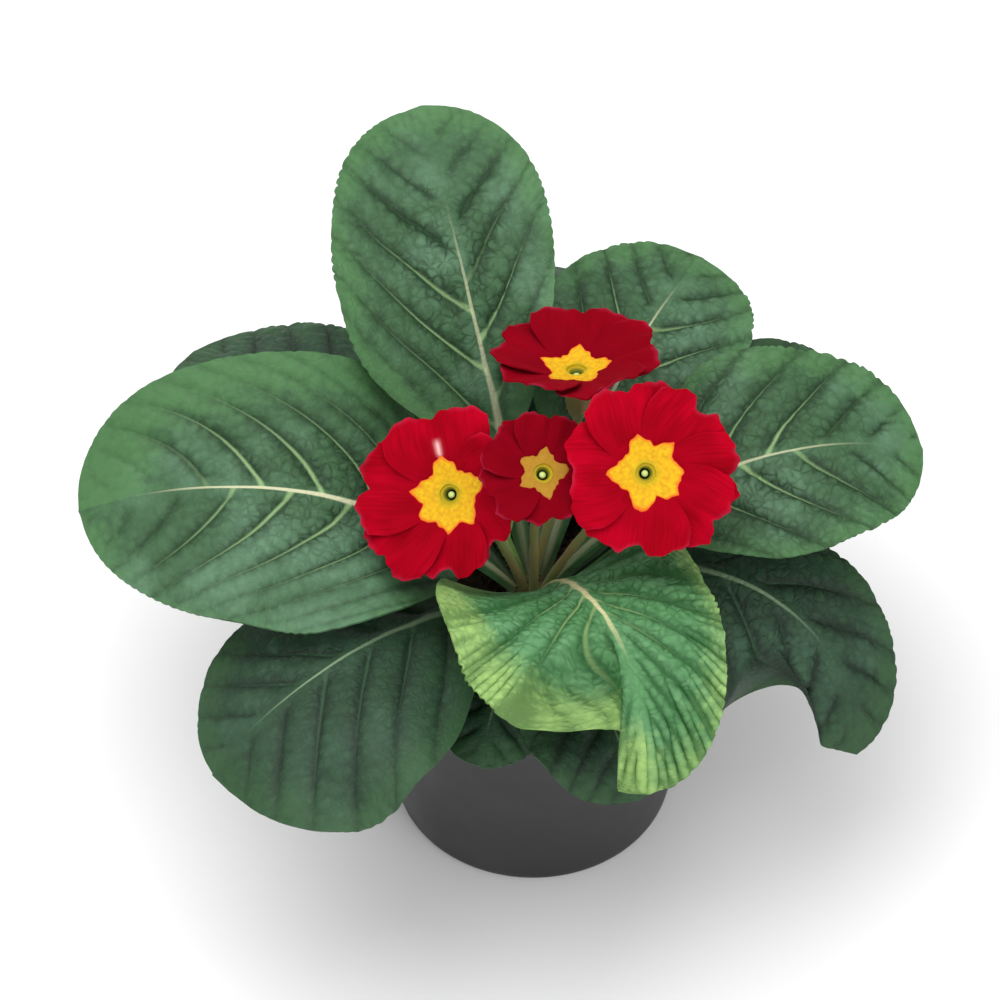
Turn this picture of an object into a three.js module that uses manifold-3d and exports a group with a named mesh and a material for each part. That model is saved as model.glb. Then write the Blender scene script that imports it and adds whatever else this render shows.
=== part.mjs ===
// A potted primrose: a rosette of crinkled leaves and four red, yellow-eyed flowers on one short rootstock,
// standing in a nursery pot of compost. Millimetres, +Z up, origin at the centre of the pot's base. The
// front is towards -Y.
import * as THREE from "three";
import { mergeVertices } from "three/addons/utils/BufferGeometryUtils.js";
import Module from "manifold-3d";

const wasm = await Module();
wasm.setup();

// ---------------------------------------------------------------- driving dimensions

const GAP = 0.3; // left between two pieces that touch

const POT_HEIGHT = 80;
const POT_RIM_RADIUS = 52.5;
const POT_RIM_SKIRT = 8; // height of the band that hangs from the rim
const POT_BASE_RADIUS = 37.5;
const POT_WALL = 1.3;
const POT_SIDES = 32; // flats of the pot and of the compost in it
const DRAIN_COUNT = 8;
const DRAIN_CIRCLE_RADIUS = 27;
const DRAIN_RADIUS = 3;
const CHANNEL_HEIGHT = 3; // the ring channel under the base, which the drain holes open into

const COMPOST_TOP = 68;
const CROWN_TOP = 80; // the rootstock ends a little over the compost
const CROWN_RADIUS = 9;
const ROOT_COUNT = 6;

const LEAF_THICKNESS = 0.8;
const LEAF_ROWS = 15; // a sunk vein and a raised puff take turns along these
const LEAF_STATIONS = [-1, -0.7, -0.36, 0, 0.36, 0.7, 1]; // places across a leaf, from margin to margin
const QUILT_DEPTH = 0.75; // how far the sunk veins and the raised puffs lie from the leaf's middle face
const FOLD_RUN = 0.12; // a folded margin reaches its full fold over this share of the leaf's length
const FOLD_SLANT = 0.23; // how much later the margin folds than the blade by the midrib
const FLAP_SHARE = 0.3; // of the margin's width that is left past its fold, as the rest is rolled up
const PETAL_THICKNESS = 0.8;

const COLOURS = {
  pot: 0x17171a,
  compost: 0x3a2a20,
  rootstock: 0x7a5b3c,
  leaf: 0x3f6b3f,
  youngLeaf: 0x86a94b,
  petals: 0xb90a1c,
  eye: 0xf2c40f,
  stalk: 0x8a8f52,
  pistil: 0xb9c86a,
};

// ---------------------------------------------------------------- small helpers

const mix = THREE.MathUtils.lerp;
const radians = THREE.MathUtils.degToRad;
const ease = (x, low, high) => THREE.MathUtils.smoothstep(x, low, high);
const bump = (x, centre, width) => Math.exp(-(((x - centre) / width) ** 2));

// A repeatable number from -1 to 1 for each pair of whole numbers.
function chance(a, b) {
  const wave = Math.sin(a * 127.1 + b * 311.7) * 43758.5453;
  return 2 * (wave - Math.floor(wave)) - 1;
}

// The solid that a closed geometry bounds. Faces that have collapsed, as at a pole or a leaf's tip, are
// dropped.
function solidFrom(geometry) {
  const loose = geometry.index ? geometry.toNonIndexed() : geometry;
  const bare = new THREE.BufferGeometry().setAttribute("position", loose.getAttribute("position"));
  const merged = mergeVertices(bare, 1e-3);
  const corners = [];
  for (let i = 0; i < merged.index.count; i += 3) {
    const face = [merged.index.getX(i), merged.index.getX(i + 1), merged.index.getX(i + 2)];
    if (new Set(face).size === 3) corners.push(...face);
  }
  const build = (triVerts) =>
    new wasm.Manifold(
      new wasm.Mesh({
        numProp: 3,
        vertProperties: new Float32Array(merged.attributes.position.array),
        triVerts: new Uint32Array(triVerts),
      }),
    );
  const solid = build(corners);
  return solid.volume() > 0 ? solid : build(corners.reverse());
}

function geometryFrom(solid) {
  const { vertProperties, numProp, numVert, triVerts } = solid.getMesh();
  const places = new Float32Array(numVert * 3);
  for (let i = 0; i < numVert; i++) places.set(vertProperties.subarray(i * numProp, i * numProp + 3), i * 3);
  const geometry = new THREE.BufferGeometry();
  geometry.setAttribute("position", new THREE.BufferAttribute(places, 3));
  geometry.setIndex(new THREE.BufferAttribute(new Uint32Array(triVerts), 1));
  geometry.computeVertexNormals();
  return geometry;
}

// The closed sheet between two grids of points, over[row][column] and under[row][column], split alike on
// both faces.
function sheetBetween(over, under) {
  const rows = over.length - 1;
  const columns = over[0].length - 1;
  const places = [];
  const face = (a, b, c) => places.push(...a.toArray(), ...b.toArray(), ...c.toArray());
  const quad = (a, b, c, d) => {
    face(a, b, c);
    face(a, c, d);
  };
  for (let i = 0; i < rows; i++) {
    for (let j = 0; j < columns; j++) {
      quad(over[i][j], over[i + 1][j], over[i + 1][j + 1], over[i][j + 1]);
      face(under[i][j], under[i + 1][j + 1], under[i + 1][j]);
      face(under[i][j], under[i][j + 1], under[i + 1][j + 1]);
    }
    quad(over[i + 1][0], over[i][0], under[i][0], under[i + 1][0]);
    quad(over[i][columns], over[i + 1][columns], under[i + 1][columns], under[i][columns]);
  }
  for (let j = 0; j < columns; j++) {
    quad(over[0][j], over[0][j + 1], under[0][j + 1], under[0][j]);
    quad(over[rows][j + 1], over[rows][j], under[rows][j], under[rows][j + 1]);
  }
  return new THREE.BufferGeometry().setAttribute("position", new THREE.Float32BufferAttribute(places, 3));
}

// The way that a grid of points faces at one of them, or the spare direction where the grid has no width.
function gridNormal(grid, row, column, spare) {
  const before = grid[Math.max(0, row - 1)][column];
  const after = grid[Math.min(grid.length - 1, row + 1)][column];
  const right = grid[row][Math.max(0, column - 1)];
  const left = grid[row][Math.min(grid[row].length - 1, column + 1)];
  const normal = after.clone().sub(before).cross(left.clone().sub(right));
  return normal.lengthSq() > 1e-6 ? normal.normalize() : spare.clone();
}

// A tube along a curve whose radius is given for each share of its length.
function taperedTube(curve, radiusAt, sides, steps) {
  const { normals, binormals } = curve.computeFrenetFrames(steps);
  const rings = [];
  for (let i = 0; i <= steps; i++) {
    const centre = curve.getPointAt(i / steps);
    const ring = [];
    for (let k = 0; k <= sides; k++) {
      const turn = (2 * Math.PI * (k % sides)) / sides;
      const offset = normals[i]
        .clone()
        .multiplyScalar(Math.cos(turn))
        .addScaledVector(binormals[i], Math.sin(turn));
      ring.push(centre.clone().addScaledVector(offset, radiusAt(i / steps)));
    }
    rings.push(ring);
  }
  const poleAt = (share) => rings[0].map(() => curve.getPointAt(share));
  const capped = [poleAt(0), ...rings, poleAt(1)];
  const places = [];
  for (let i = 0; i + 1 < capped.length; i++)
    for (let k = 0; k < sides; k++)
      for (const p of [
        capped[i][k],
        capped[i][k + 1],
        capped[i + 1][k + 1],
        capped[i][k],
        capped[i + 1][k + 1],
        capped[i + 1][k],
      ])
        places.push(...p.toArray());
  return new THREE.BufferGeometry().setAttribute("position", new THREE.Float32BufferAttribute(places, 3));
}

// A solid of revolution about +Z from [radius, height] pairs.
function turned(profile, sides) {
  const points = profile.map(([radius, height]) => new THREE.Vector2(radius, height));
  return new THREE.LatheGeometry(points, sides).rotateX(Math.PI / 2);
}

function named(name, solid, colour, roughness) {
  const material = new THREE.MeshStandardMaterial({ color: colour, roughness, metalness: 0 });
  const mesh = new THREE.Mesh(geometryFrom(solid), material);
  mesh.name = name;
  return mesh;
}

// ---------------------------------------------------------------- pot

const RIM_UNDERSIDE = POT_HEIGHT - POT_RIM_SKIRT;
const WALL_TOP_RADIUS = POT_RIM_RADIUS - 3.2; // the tapered wall meets the rim this far in
const CHANNEL_INNER_RADIUS = DRAIN_CIRCLE_RADIUS - 6;
const CHANNEL_OUTER_RADIUS = DRAIN_CIRCLE_RADIUS + 6;

const wallRadiusAt = (height) => mix(POT_BASE_RADIUS, WALL_TOP_RADIUS, height / RIM_UNDERSIDE);

// The floor's upper face, from the axis out: a flat pad, then a raised ring over the channel, then the
// foot.
const FLOOR_PROFILE = [
  [0, POT_WALL],
  [CHANNEL_INNER_RADIUS - 2, POT_WALL],
  [CHANNEL_INNER_RADIUS, CHANNEL_HEIGHT + POT_WALL],
  [CHANNEL_OUTER_RADIUS, CHANNEL_HEIGHT + POT_WALL],
  [CHANNEL_OUTER_RADIUS + 2, POT_WALL],
  [wallRadiusAt(POT_WALL) - POT_WALL, POT_WALL],
];

function buildPot() {
  const outside = [
    [0, 0],
    [CHANNEL_INNER_RADIUS - 1, 0],
    [CHANNEL_INNER_RADIUS + 1, CHANNEL_HEIGHT],
    [CHANNEL_OUTER_RADIUS - 1, CHANNEL_HEIGHT],
    [CHANNEL_OUTER_RADIUS + 1, 0],
    [POT_BASE_RADIUS - 1, 0],
    [POT_BASE_RADIUS, 1],
    [WALL_TOP_RADIUS, RIM_UNDERSIDE + 1.5],
    [POT_RIM_RADIUS - POT_WALL, RIM_UNDERSIDE + 1.5],
    [POT_RIM_RADIUS - POT_WALL, RIM_UNDERSIDE],
    [POT_RIM_RADIUS, RIM_UNDERSIDE],
    [POT_RIM_RADIUS, POT_HEIGHT - 1],
    [POT_RIM_RADIUS - 1, POT_HEIGHT],
  ];
  const inside = [
    [POT_RIM_RADIUS - 2.6, POT_HEIGHT],
    [POT_RIM_RADIUS - 3.4, POT_HEIGHT - 1],
    [WALL_TOP_RADIUS - POT_WALL, RIM_UNDERSIDE],
    ...FLOOR_PROFILE.toReversed(),
  ];
  let pot = solidFrom(turned([...outside, ...inside], POT_SIDES));
  for (let i = 0; i < DRAIN_COUNT; i++) {
    const turn = (2 * Math.PI * i) / DRAIN_COUNT;
    const drill = new THREE.CylinderGeometry(DRAIN_RADIUS, DRAIN_RADIUS, 20, 10).rotateX(Math.PI / 2);
    drill.translate(DRAIN_CIRCLE_RADIUS * Math.cos(turn), DRAIN_CIRCLE_RADIUS * Math.sin(turn), 0);
    pot = pot.subtract(solidFrom(drill));
  }
  return pot;
}

// ---------------------------------------------------------------- rootstock, roots and compost

// The rootstock with its fleshy roots. A grow of more than 0 makes the hole that it stands in.
function buildRootstock(grow = 0) {
  const crown = turned(
    [
      [0, 48 - grow],
      [5 + grow, 49 - grow],
      [CROWN_RADIUS - 1.5 + grow, 56],
      [CROWN_RADIUS + grow, 63],
      [CROWN_RADIUS + grow, 71.5],
      [CROWN_RADIUS - 2 + grow, 75],
      [CROWN_RADIUS - 3.5 + grow, CROWN_TOP - 1.5 + grow / 2],
      [CROWN_RADIUS - 5 + grow, CROWN_TOP + grow],
      [0, CROWN_TOP + 0.5 + grow],
    ],
    16,
  );
  let solid = solidFrom(crown);
  for (let i = 0; i < ROOT_COUNT; i++) {
    const turn = (2 * Math.PI * (i + 0.5 + 0.25 * chance(i, 1))) / ROOT_COUNT;
    const at = (radius, height) => new THREE.Vector3(radius * Math.cos(turn), radius * Math.sin(turn), height);
    const reach = 24 + 5 * chance(i, 2);
    const route = new THREE.CatmullRomCurve3([
      at(3, 56 + 2 * chance(i, 3)),
      at(12, 52),
      at(reach, 40),
      at(reach + 2, 20 + 4 * chance(i, 4) - grow),
    ]);
    const root = taperedTube(route, (share) => mix(1.7, 0.7, share) + grow, 5, 6);
    solid = solid.add(solidFrom(root));
  }
  return solid;
}

function compostHeight(radius, turn) {
  const dome = 1.5 * Math.cos((Math.PI / 2) * Math.min(1, radius / 46));
  const lumps =
    0.8 * Math.sin(radius * 0.31 + 3 * turn) * Math.sin(5 * turn + radius * 0.12) +
    0.5 * chance(Math.round(radius * 3), Math.round(turn * 9));
  return COMPOST_TOP + dome + (radius > 12 ? lumps : 0);
}

function buildCompost() {
  const floor = FLOOR_PROFILE.slice(0, -1).map(([radius, height]) => [radius, height + 2 * GAP]);
  const edge = [
    [wallRadiusAt(2) - POT_WALL - 2 * GAP, POT_WALL + 2 * GAP],
    [wallRadiusAt(COMPOST_TOP - 1) - POT_WALL - 2 * GAP, COMPOST_TOP - 1],
  ];
  const surface = [40, 31, 22, 12, 0].map((radius) => [radius, COMPOST_TOP + 1]);
  const plug = turned([...floor, ...edge, ...surface], POT_SIDES);
  const places = plug.getAttribute("position");
  for (let i = 0; i < places.count; i++) {
    const radius = Math.hypot(places.getX(i), places.getY(i));
    const turn = Math.round((Math.atan2(places.getY(i), places.getX(i)) / (2 * Math.PI)) * POT_SIDES);
    const angle = ((turn % POT_SIDES) * 2 * Math.PI) / POT_SIDES;
    if (places.getZ(i) > COMPOST_TOP) places.setZ(i, compostHeight(radius, angle));
  }
  return solidFrom(plug).subtract(buildRootstock(GAP));
}

// ---------------------------------------------------------------- leaves

// Where leaves spring from the rootstock: the old leaves low down, the next above them, the young ones at
// its top.
const TIERS = {
  outer: { radius: CROWN_RADIUS - 4, height: 70.6 },
  upper: { radius: CROWN_RADIUS - 5.2, height: 74 },
  inner: { radius: CROWN_RADIUS - 5.4, height: 78 },
};

// What a leaf has where its own line says nothing: swing turns its heading by the tip; stem is the share of
// it that is stalk and widest the share of the blade before its widest place; skew is how much further out
// that is on the left, seen from the rootstock, and uneven how much wider the left half is; a low fill
// widens the blade early; a high point sharpens the tip; wave and waves ripple the margins; lap lifts them
// at the leaf's foot, and tilt the left one more. fold turns one margin down from foldAt on, the left one
// if it is more than 0, along a line that lies foldLine of half the width out from the midrib, and by the
// tip foldFlare more.
const LEAF_DEFAULTS = {
  swing: 0,
  bend: 1.1,
  stem: 0.16,
  widest: 0.5,
  skew: 0,
  uneven: 0,
  fill: 0.95,
  wave: 1.6,
  waves: 3,
  point: 0.5,
  fold: 0,
  foldAt: 0.63,
  foldLine: 0.06,
  foldFlare: 0,
  lap: 0,
  tilt: 0,
};
const SWINGING = {
  fall: -88,
  swing: -68,
  uneven: -0.3,
  wave: 2.6,
  point: 0.9,
  fold: -100,
  foldAt: 0.53,
  foldLine: 0.28,
};
const NARROW_FOOT = { cup: 2, stem: 0.24, fill: 1.15 };
const BROAD = { widest: 0.4, skew: 0.04, uneven: 0.01, fill: 0.62 };
const FULL_LEFT = { roll: 8, cup: -3, widest: 0.6, skew: 0.07, uneven: 0.2 };
const FULL_RIGHT = { roll: -8, cup: -2, widest: 0.56, skew: -0.06, uneven: -0.08 };
const TALL = { stem: 0.26, widest: 0.53, swing: -9, skew: -0.1, uneven: 0.14 };
const FOLDED_TIP = {
  fall: -54,
  swing: -27,
  skew: -0.07,
  uneven: -0.15,
  fold: -105,
  foldAt: 0.56,
  foldLine: 0.01,
  foldFlare: 0.2,
  stem: 0.05,
  widest: 0.4,
  fill: 0.55,
  lap: 17,
  tilt: -6,
};

// Each leaf: heading is its compass direction in degrees from +X, towards +Y; rise and fall are the
// midrib's slopes at the foot and the tip; roll lifts its left side; cup lifts both margins.
const LEAVES = {
  outer_front_left: { heading: -143.5, length: 111, width: 79, rise: 46, fall: -44, ...FULL_LEFT },
  outer_front_low: { heading: -103, length: 64, width: 36, rise: 43, fall: -28, roll: -5, cup: -2 },
  outer_front: { heading: -68, length: 77, width: 43, rise: 51, fall: -57, ...FULL_RIGHT },
  outer_front_right: { heading: -5, length: 122, width: 65, rise: 52, roll: 10, cup: -6, ...SWINGING },
  outer_right: { heading: 35, length: 118, width: 63, rise: 37, fall: -34, roll: 12, cup: -3 },
  outer_back_right: { heading: 84, length: 118, width: 64, rise: 38, fall: -36, roll: 12, cup: -3 },
  outer_back_left: { heading: 140, length: 124, width: 66, rise: 40, fall: -30, roll: 8, cup: -3 },
  upper_left: { heading: 177, length: 134, width: 77.5, rise: 56, fall: -34, roll: -24, cup: 3, ...BROAD },
  upper_back: { heading: 109, length: 140, width: 61, rise: 66, fall: 2, roll: -2, cup: 3, ...TALL },
  upper_back_right: { heading: 62.4, length: 112, width: 57, rise: 60, fall: -22, roll: 8, ...NARROW_FOOT },
  upper_front: { heading: -61, length: 109, width: 72.5, rise: 74, roll: -6, cup: -2, ...FOLDED_TIP },
  upper_right: { heading: 14, length: 120, width: 62, rise: 60, fall: -32, roll: 12, ...NARROW_FOOT },
  inner: { heading: 147, length: 42, width: 17, rise: 72, fall: 40, roll: 0, cup: 4, stem: 0.34 },
};

// Half the width of a leaf at a share of its length, on the left (1) or the right (-1): a winged stalk, a
// blade that widens, and a round tip.
function halfWidthAt(leaf, along, hand) {
  const widest = leaf.widest + leaf.skew * hand;
  const share = THREE.MathUtils.clamp((along - leaf.stem) / (1 - leaf.stem), 0, 1);
  const stoutness = mix(0.5, 1, ease(leaf.width, 10, 70));
  const stalk = mix(1.7, 3.4, Math.min(1, along / leaf.stem)) * stoutness;
  const widening = Math.sin((Math.PI / 2) * Math.min(1, share / widest)) ** leaf.fill;
  const tip = Math.max(0, (share - widest) / (1 - widest));
  const rounding = Math.max(0, 1 - tip ** 2.2) ** leaf.point;
  const half = (leaf.width / 2) * (1 + leaf.uneven * hand);
  return Math.max(stalk, half * widening) * rounding;
}

// The midrib's place and directions at a share of its length, from steps of its slope and heading.
function midribFrames(leaf) {
  const steps = 60;
  const tier = leaf.tier;
  const start = radians(leaf.heading);
  const place = new THREE.Vector3(tier.radius * Math.cos(start), tier.radius * Math.sin(start), tier.height);
  const frames = [];
  for (let i = 0; i <= steps; i++) {
    const share = i / steps;
    const slope = radians(mix(leaf.rise, leaf.fall, share ** leaf.bend));
    const heading = radians(leaf.heading + leaf.swing * share * share);
    const along = new THREE.Vector3(
      Math.cos(slope) * Math.cos(heading),
      Math.cos(slope) * Math.sin(heading),
      Math.sin(slope),
    );
    const level = new THREE.Vector3(-Math.sin(heading), Math.cos(heading), 0);
    const roll = radians(leaf.roll) * ease(share, 0.15, 0.6);
    const side = level.clone().applyAxisAngle(along, roll);
    frames.push({ place: place.clone(), side, up: along.clone().cross(side) });
    place.addScaledVector(along, leaf.length / steps);
  }
  return (share) => {
    const position = THREE.MathUtils.clamp(share, 0, 1) * steps;
    const low = Math.min(steps - 1, Math.floor(position));
    const blend = (key) => frames[low][key].clone().lerp(frames[low + 1][key], position - low);
    return { place: blend("place"), side: blend("side").normalize(), up: blend("up").normalize() };
  };
}

// A point on a leaf's upper face, for a share of its rows and a station across it. Rows lean forward as the
// side veins do. A quilt of 1 is the top of a puff between two side veins, and -1 is in a vein.
function leafPoint(leaf, frameAt, rowShare, station, quilt) {
  const half = leaf.width / 2;
  const side = Math.abs(station);
  const blade = ease(rowShare, leaf.stem * 0.8, leaf.stem + 0.25);
  const along = rowShare + 0.36 * side ** 1.5 * (1 - rowShare) * blade;
  const scallop = 1 + (0.005 + 0.03 * quilt) * blade * side ** 6;
  const out = station * halfWidthAt(leaf, along, Math.sign(station)) * scallop;
  const crossing = (out / half) ** 2;
  const phase = 2 * Math.PI * leaf.waves * along + (station > 0 ? 0.9 : 3.4) + leaf.heading;
  const fade = ease(1 - rowShare, 0, 0.15);
  const relief = QUILT_DEPTH * quilt * fade * Math.sin(Math.PI * Math.min(1, side * 1.15));
  const groove = station === 0 ? 0.5 * (1 - rowShare) : 0;
  const channel = 1.1 * (1 - blade) * side ** 2;
  const cup = leaf.cup + (leaf.lap + leaf.tilt * Math.sign(station)) * (1 - ease(along, 0.1, 0.6));
  const lift = (cup + leaf.wave * Math.sin(phase)) * crossing + channel + (relief - groove) * blade;

  const pastFold = along - leaf.foldAt - FOLD_SLANT * side;
  const folded = station * leaf.fold > 0 ? ease(pastFold, -FOLD_RUN / 2, FOLD_RUN / 2) : 0;
  const turn = radians(Math.abs(leaf.fold)) * folded;
  const foldLine = leaf.foldLine + leaf.foldFlare * ease(along, leaf.foldAt, 1);
  const beyond = Math.max(0, Math.abs(out) - foldLine * half);
  const flap = beyond * mix(1, FLAP_SHARE, folded);
  const across = out - Math.sign(out) * (beyond - flap * Math.cos(turn));
  const frame = frameAt(along);
  return frame.place
    .clone()
    .addScaledVector(frame.side, across)
    .addScaledVector(frame.up, lift - flap * Math.sin(turn));
}

function buildLeaf(leaf) {
  const frameAt = midribFrames(leaf);
  const over = [];
  for (let row = 0; row <= LEAF_ROWS; row++) {
    const quilt = row % 2 === 1 ? 1 : -1;
    over.push(LEAF_STATIONS.map((station) => leafPoint(leaf, frameAt, row / LEAF_ROWS, station, quilt)));
  }
  const under = over.map((points, row) => {
    const rowShare = row / LEAF_ROWS;
    const ribDepth = mix(2.2, 0.2, Math.min(1, rowShare * 1.2)) * (leaf.width < 30 ? 0.5 : 1);
    return points.map((point, column) => {
      const depth = LEAF_THICKNESS + ribDepth * Math.max(0, 1 - Math.abs(LEAF_STATIONS[column]) * 1.6);
      return point.clone().addScaledVector(gridNormal(over, row, column, frameAt(rowShare).up), -depth);
    });
  });
  return solidFrom(sheetBetween(over, under)).subtract(CROWN_CLEARANCE);
}

// ---------------------------------------------------------------- flowers

// Each flower: centre of its throat, the direction it faces, its radius, how far its rim rises as a share of
// that, and where its stalk leaves the rootstock. Each petal: its direction in degrees, then half its width
// and its length as shares of the radius.
const FLOWERS = {
  right: {
    centre: [29, -6.9, 134.6],
    facing: [0.14, -0.6, 0.79],
    radius: 23.5,
    cup: 0,
    foot: [2.2, -0.6],
    petals: [
      [0, 0.46, 1.06],
      [48, 0.52, 1.02],
      [103, 0.54, 1.02],
      [183, 0.6, 0.9],
      [262, 0.58, 0.91],
      [327, 0.47, 1.03],
    ],
  },
  left: {
    centre: [-22, -5, 123.7],
    facing: [-0.3, -0.56, 0.77],
    radius: 23.5,
    cup: 0,
    foot: [-2.2, -0.4],
    petals: [
      [20, 0.5, 0.76],
      [103, 0.62, 0.96],
      [175, 0.52, 1.08],
      [222, 0.48, 1.11],
      [268, 0.5, 0.94],
      [312, 0.46, 0.84],
    ],
  },
  middle: {
    centre: [2.2, -6.2, 133.4],
    facing: [0.12, -0.4, 0.91],
    radius: 16,
    cup: 0.04,
    foot: [-0.1, -2.3],
    petals: [
      [12, 0.56, 0.95],
      [84, 0.57, 1.02],
      [146, 0.53, 1.06],
      [210, 0.55, 1.04],
      [282, 0.57, 0.86],
    ],
  },
  back: {
    centre: [11.2, 27.6, 134.9],
    facing: [-0.04, 0.3, 0.95],
    radius: 22,
    cup: 0.24,
    foot: [-0.3, 1.7],
    petals: [
      [8, 0.56, 1],
      [84, 0.62, 1],
      [160, 0.56, 1],
      [226, 0.54, 0.96],
      [296, 0.55, 0.96],
    ],
  },
};
const PETAL_RADII = [0.16, 0.42, 0.7, 1]; // rows of a petal, as shares of the flower's radius
const PETAL_STATIONS = [-1, -0.62, -0.24, 0, 0.24, 0.62, 1];
const TUBE_RADIUS = 2.1;
const TUBE_BORE = 1.4;
const TUBE_LENGTH = 11;
const CALYX_LENGTH = 13;
const CALYX_RADIUS = 3.3;
const STALK_RADIUS = 1.15;

// How far a flower's face stands over its throat: a shallow dish whose rim rolls back a little, or a cup.
const dishHeight = (radius, flower) => {
  const share = radius / flower.radius;
  return flower.radius * (0.16 * share - 0.1 * share ** 3 + flower.cup * share ** 1.7);
};

// A point of a petal in the flower's own frame, where +Z is the way that it faces.
function petalPoint(flower, petal, share, station) {
  const [heading, halfWidth, length] = petal;
  const spread = Math.sin((Math.PI / 2) * Math.min(1, share / 0.72)) ** 0.8;
  const notch = 0.1 * bump(station, 0, 0.22);
  const shoulder = 0.2 * Math.abs(station) ** 3;
  const reach = flower.radius * length * share * (1 - (notch + shoulder) * share ** 2);
  const out = station * flower.radius * halfWidth * spread;
  const radius = Math.hypot(reach, out);
  const apart = ease(radius, 0.38 * flower.radius, 0.75 * flower.radius);
  const ruffle = 0.8 * share ** 3 * Math.sin(4 * station + heading);
  const height = dishHeight(radius, flower) + 1.15 * station * apart + ruffle;
  const turn = radians(heading);
  return new THREE.Vector3(
    reach * Math.cos(turn) - out * Math.sin(turn),
    reach * Math.sin(turn) + out * Math.cos(turn),
    height,
  );
}

// The edge of the star-shaped eye: a point on each petal.
function eyeRadiusAt(flower, turn) {
  const fromPetals = flower.petals.map(([heading]) => Math.sin((turn - radians(heading)) / 2));
  const point = Math.max(...fromPetals.map((half) => bump(half, 0, 0.15)));
  return flower.radius * (0.3 + 0.13 * point);
}

// Four directions for each petal: its own, and three on the way to the next petal.
function eyeTurns(flower) {
  return flower.petals.flatMap(([heading], i) => {
    const next = i + 1 < flower.petals.length ? flower.petals[i + 1][0] : flower.petals[0][0] + 360;
    return [0, 0.25, 0.5, 0.75].map((share) => radians(mix(heading, next, share)));
  });
}

function discOf(flower, grow) {
  const turns = eyeTurns(flower);
  const sides = turns.length;
  const rings = [1, 0.55].map((share) =>
    [...turns, turns[0]].map((turn) => {
      const radius = share * (eyeRadiusAt(flower, turn) + grow);
      return [radius * Math.cos(turn), radius * Math.sin(turn), dishHeight(radius, flower)];
    }),
  );
  const half = 0.9 + grow;
  const layer = (ring, offset) => ring.map(([x, y, z]) => new THREE.Vector3(x, y, z + offset));
  const pole = (offset) => rings[0].map(() => new THREE.Vector3(0, 0, offset));
  const stack = [
    pole(-half),
    layer(rings[0], -half),
    layer(rings[0], half - PETAL_THICKNESS / 2),
    layer(rings[1], half - PETAL_THICKNESS / 2),
    pole(half - PETAL_THICKNESS / 2),
  ];
  const places = [];
  for (let i = 0; i + 1 < stack.length; i++)
    for (let k = 0; k < sides; k++)
      for (const p of [
        stack[i][k],
        stack[i][k + 1],
        stack[i + 1][k + 1],
        stack[i][k],
        stack[i + 1][k + 1],
        stack[i + 1][k],
      ])
        places.push(...p.toArray());
  return solidFrom(
    new THREE.BufferGeometry().setAttribute("position", new THREE.Float32BufferAttribute(places, 3)),
  );
}

function buildPetals(flower) {
  let ring = null;
  for (const petal of flower.petals) {
    const over = PETAL_RADII.map((share) =>
      PETAL_STATIONS.map((station) => petalPoint(flower, petal, share, station)),
    );
    const under = over.map((row) => row.map((p) => p.clone().setZ(p.z - PETAL_THICKNESS)));
    const solid = solidFrom(sheetBetween(over, under));
    ring = ring ? ring.add(solid) : solid;
  }
  return ring.subtract(discOf(flower, GAP));
}

function buildEye(flower) {
  const tube = turned(
    [
      [0, -TUBE_LENGTH],
      [TUBE_RADIUS, -TUBE_LENGTH],
      [TUBE_RADIUS, 0],
      [0, 0],
    ],
    10,
  );
  const throat = turned(
    [
      [0, -6],
      [TUBE_BORE, -6],
      [TUBE_BORE, 0],
      [TUBE_BORE + 0.9, 3],
      [0, 3],
    ],
    10,
  );
  return discOf(flower, 0).add(solidFrom(tube)).subtract(solidFrom(throat));
}

function buildPistil() {
  return solidFrom(
    turned(
      [
        [0, -6 + GAP],
        [0.45, -6 + GAP],
        [0.4, -1.8],
        [0.85, -1.3],
        [0.95, -0.8],
        [0.6, -0.35],
        [0, -0.2],
      ],
      8,
    ),
  );
}

// The green stalk that rises from the rootstock, with the five-ribbed calyx cup at its top.
function buildStalk(flower, toFlower) {
  const calyx = turned(
    [
      [0, -TUBE_LENGTH - 3],
      [STALK_RADIUS + 0.6, -TUBE_LENGTH - 2.6],
      [CALYX_RADIUS - 0.4, -TUBE_LENGTH],
      [CALYX_RADIUS, -CALYX_LENGTH / 2 - 1],
      [CALYX_RADIUS + 0.3, -3.4],
      [CALYX_RADIUS - 0.5, -3.4],
      [TUBE_RADIUS + GAP, -CALYX_LENGTH / 2 - 1],
      [TUBE_RADIUS + GAP, -TUBE_LENGTH - GAP],
      [0, -TUBE_LENGTH - GAP],
    ],
    10,
  );
  const places = calyx.getAttribute("position");
  for (let i = 0; i < places.count; i++) {
    const radius = Math.hypot(places.getX(i), places.getY(i));
    if (radius < TUBE_RADIUS + 2 * GAP) continue;
    const side = Math.round((5 * Math.atan2(places.getY(i), places.getX(i))) / Math.PI + 2.5);
    const rib = side % 2 === 0;
    const isMouth = places.getZ(i) > -3.5;
    places.setXY(i, places.getX(i) * (rib ? 1.08 : 0.94), places.getY(i) * (rib ? 1.08 : 0.94));
    if (isMouth) places.setZ(i, places.getZ(i) + (rib ? 1.6 : -1.6));
  }
  const centre = new THREE.Vector3(...flower.centre);
  const facing = new THREE.Vector3(...flower.facing).normalize();
  const cupFoot = centre.clone().addScaledVector(facing, -TUBE_LENGTH - 2);
  const crownPoint = new THREE.Vector3(flower.foot[0], flower.foot[1], CROWN_TOP - 3);
  const above = crownPoint.clone().lerp(centre, 0.15).setZ(CROWN_TOP + 13);
  const below = cupFoot.clone().addScaledVector(facing, -7);
  const route = new THREE.CubicBezierCurve3(crownPoint, above, below, cupFoot);
  const stalk = taperedTube(route, () => STALK_RADIUS, 7, 9);
  return solidFrom(calyx).transform(toFlower.elements).add(solidFrom(stalk)).subtract(CROWN_CLEARANCE);
}

// ---------------------------------------------------------------- the whole plant

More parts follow.
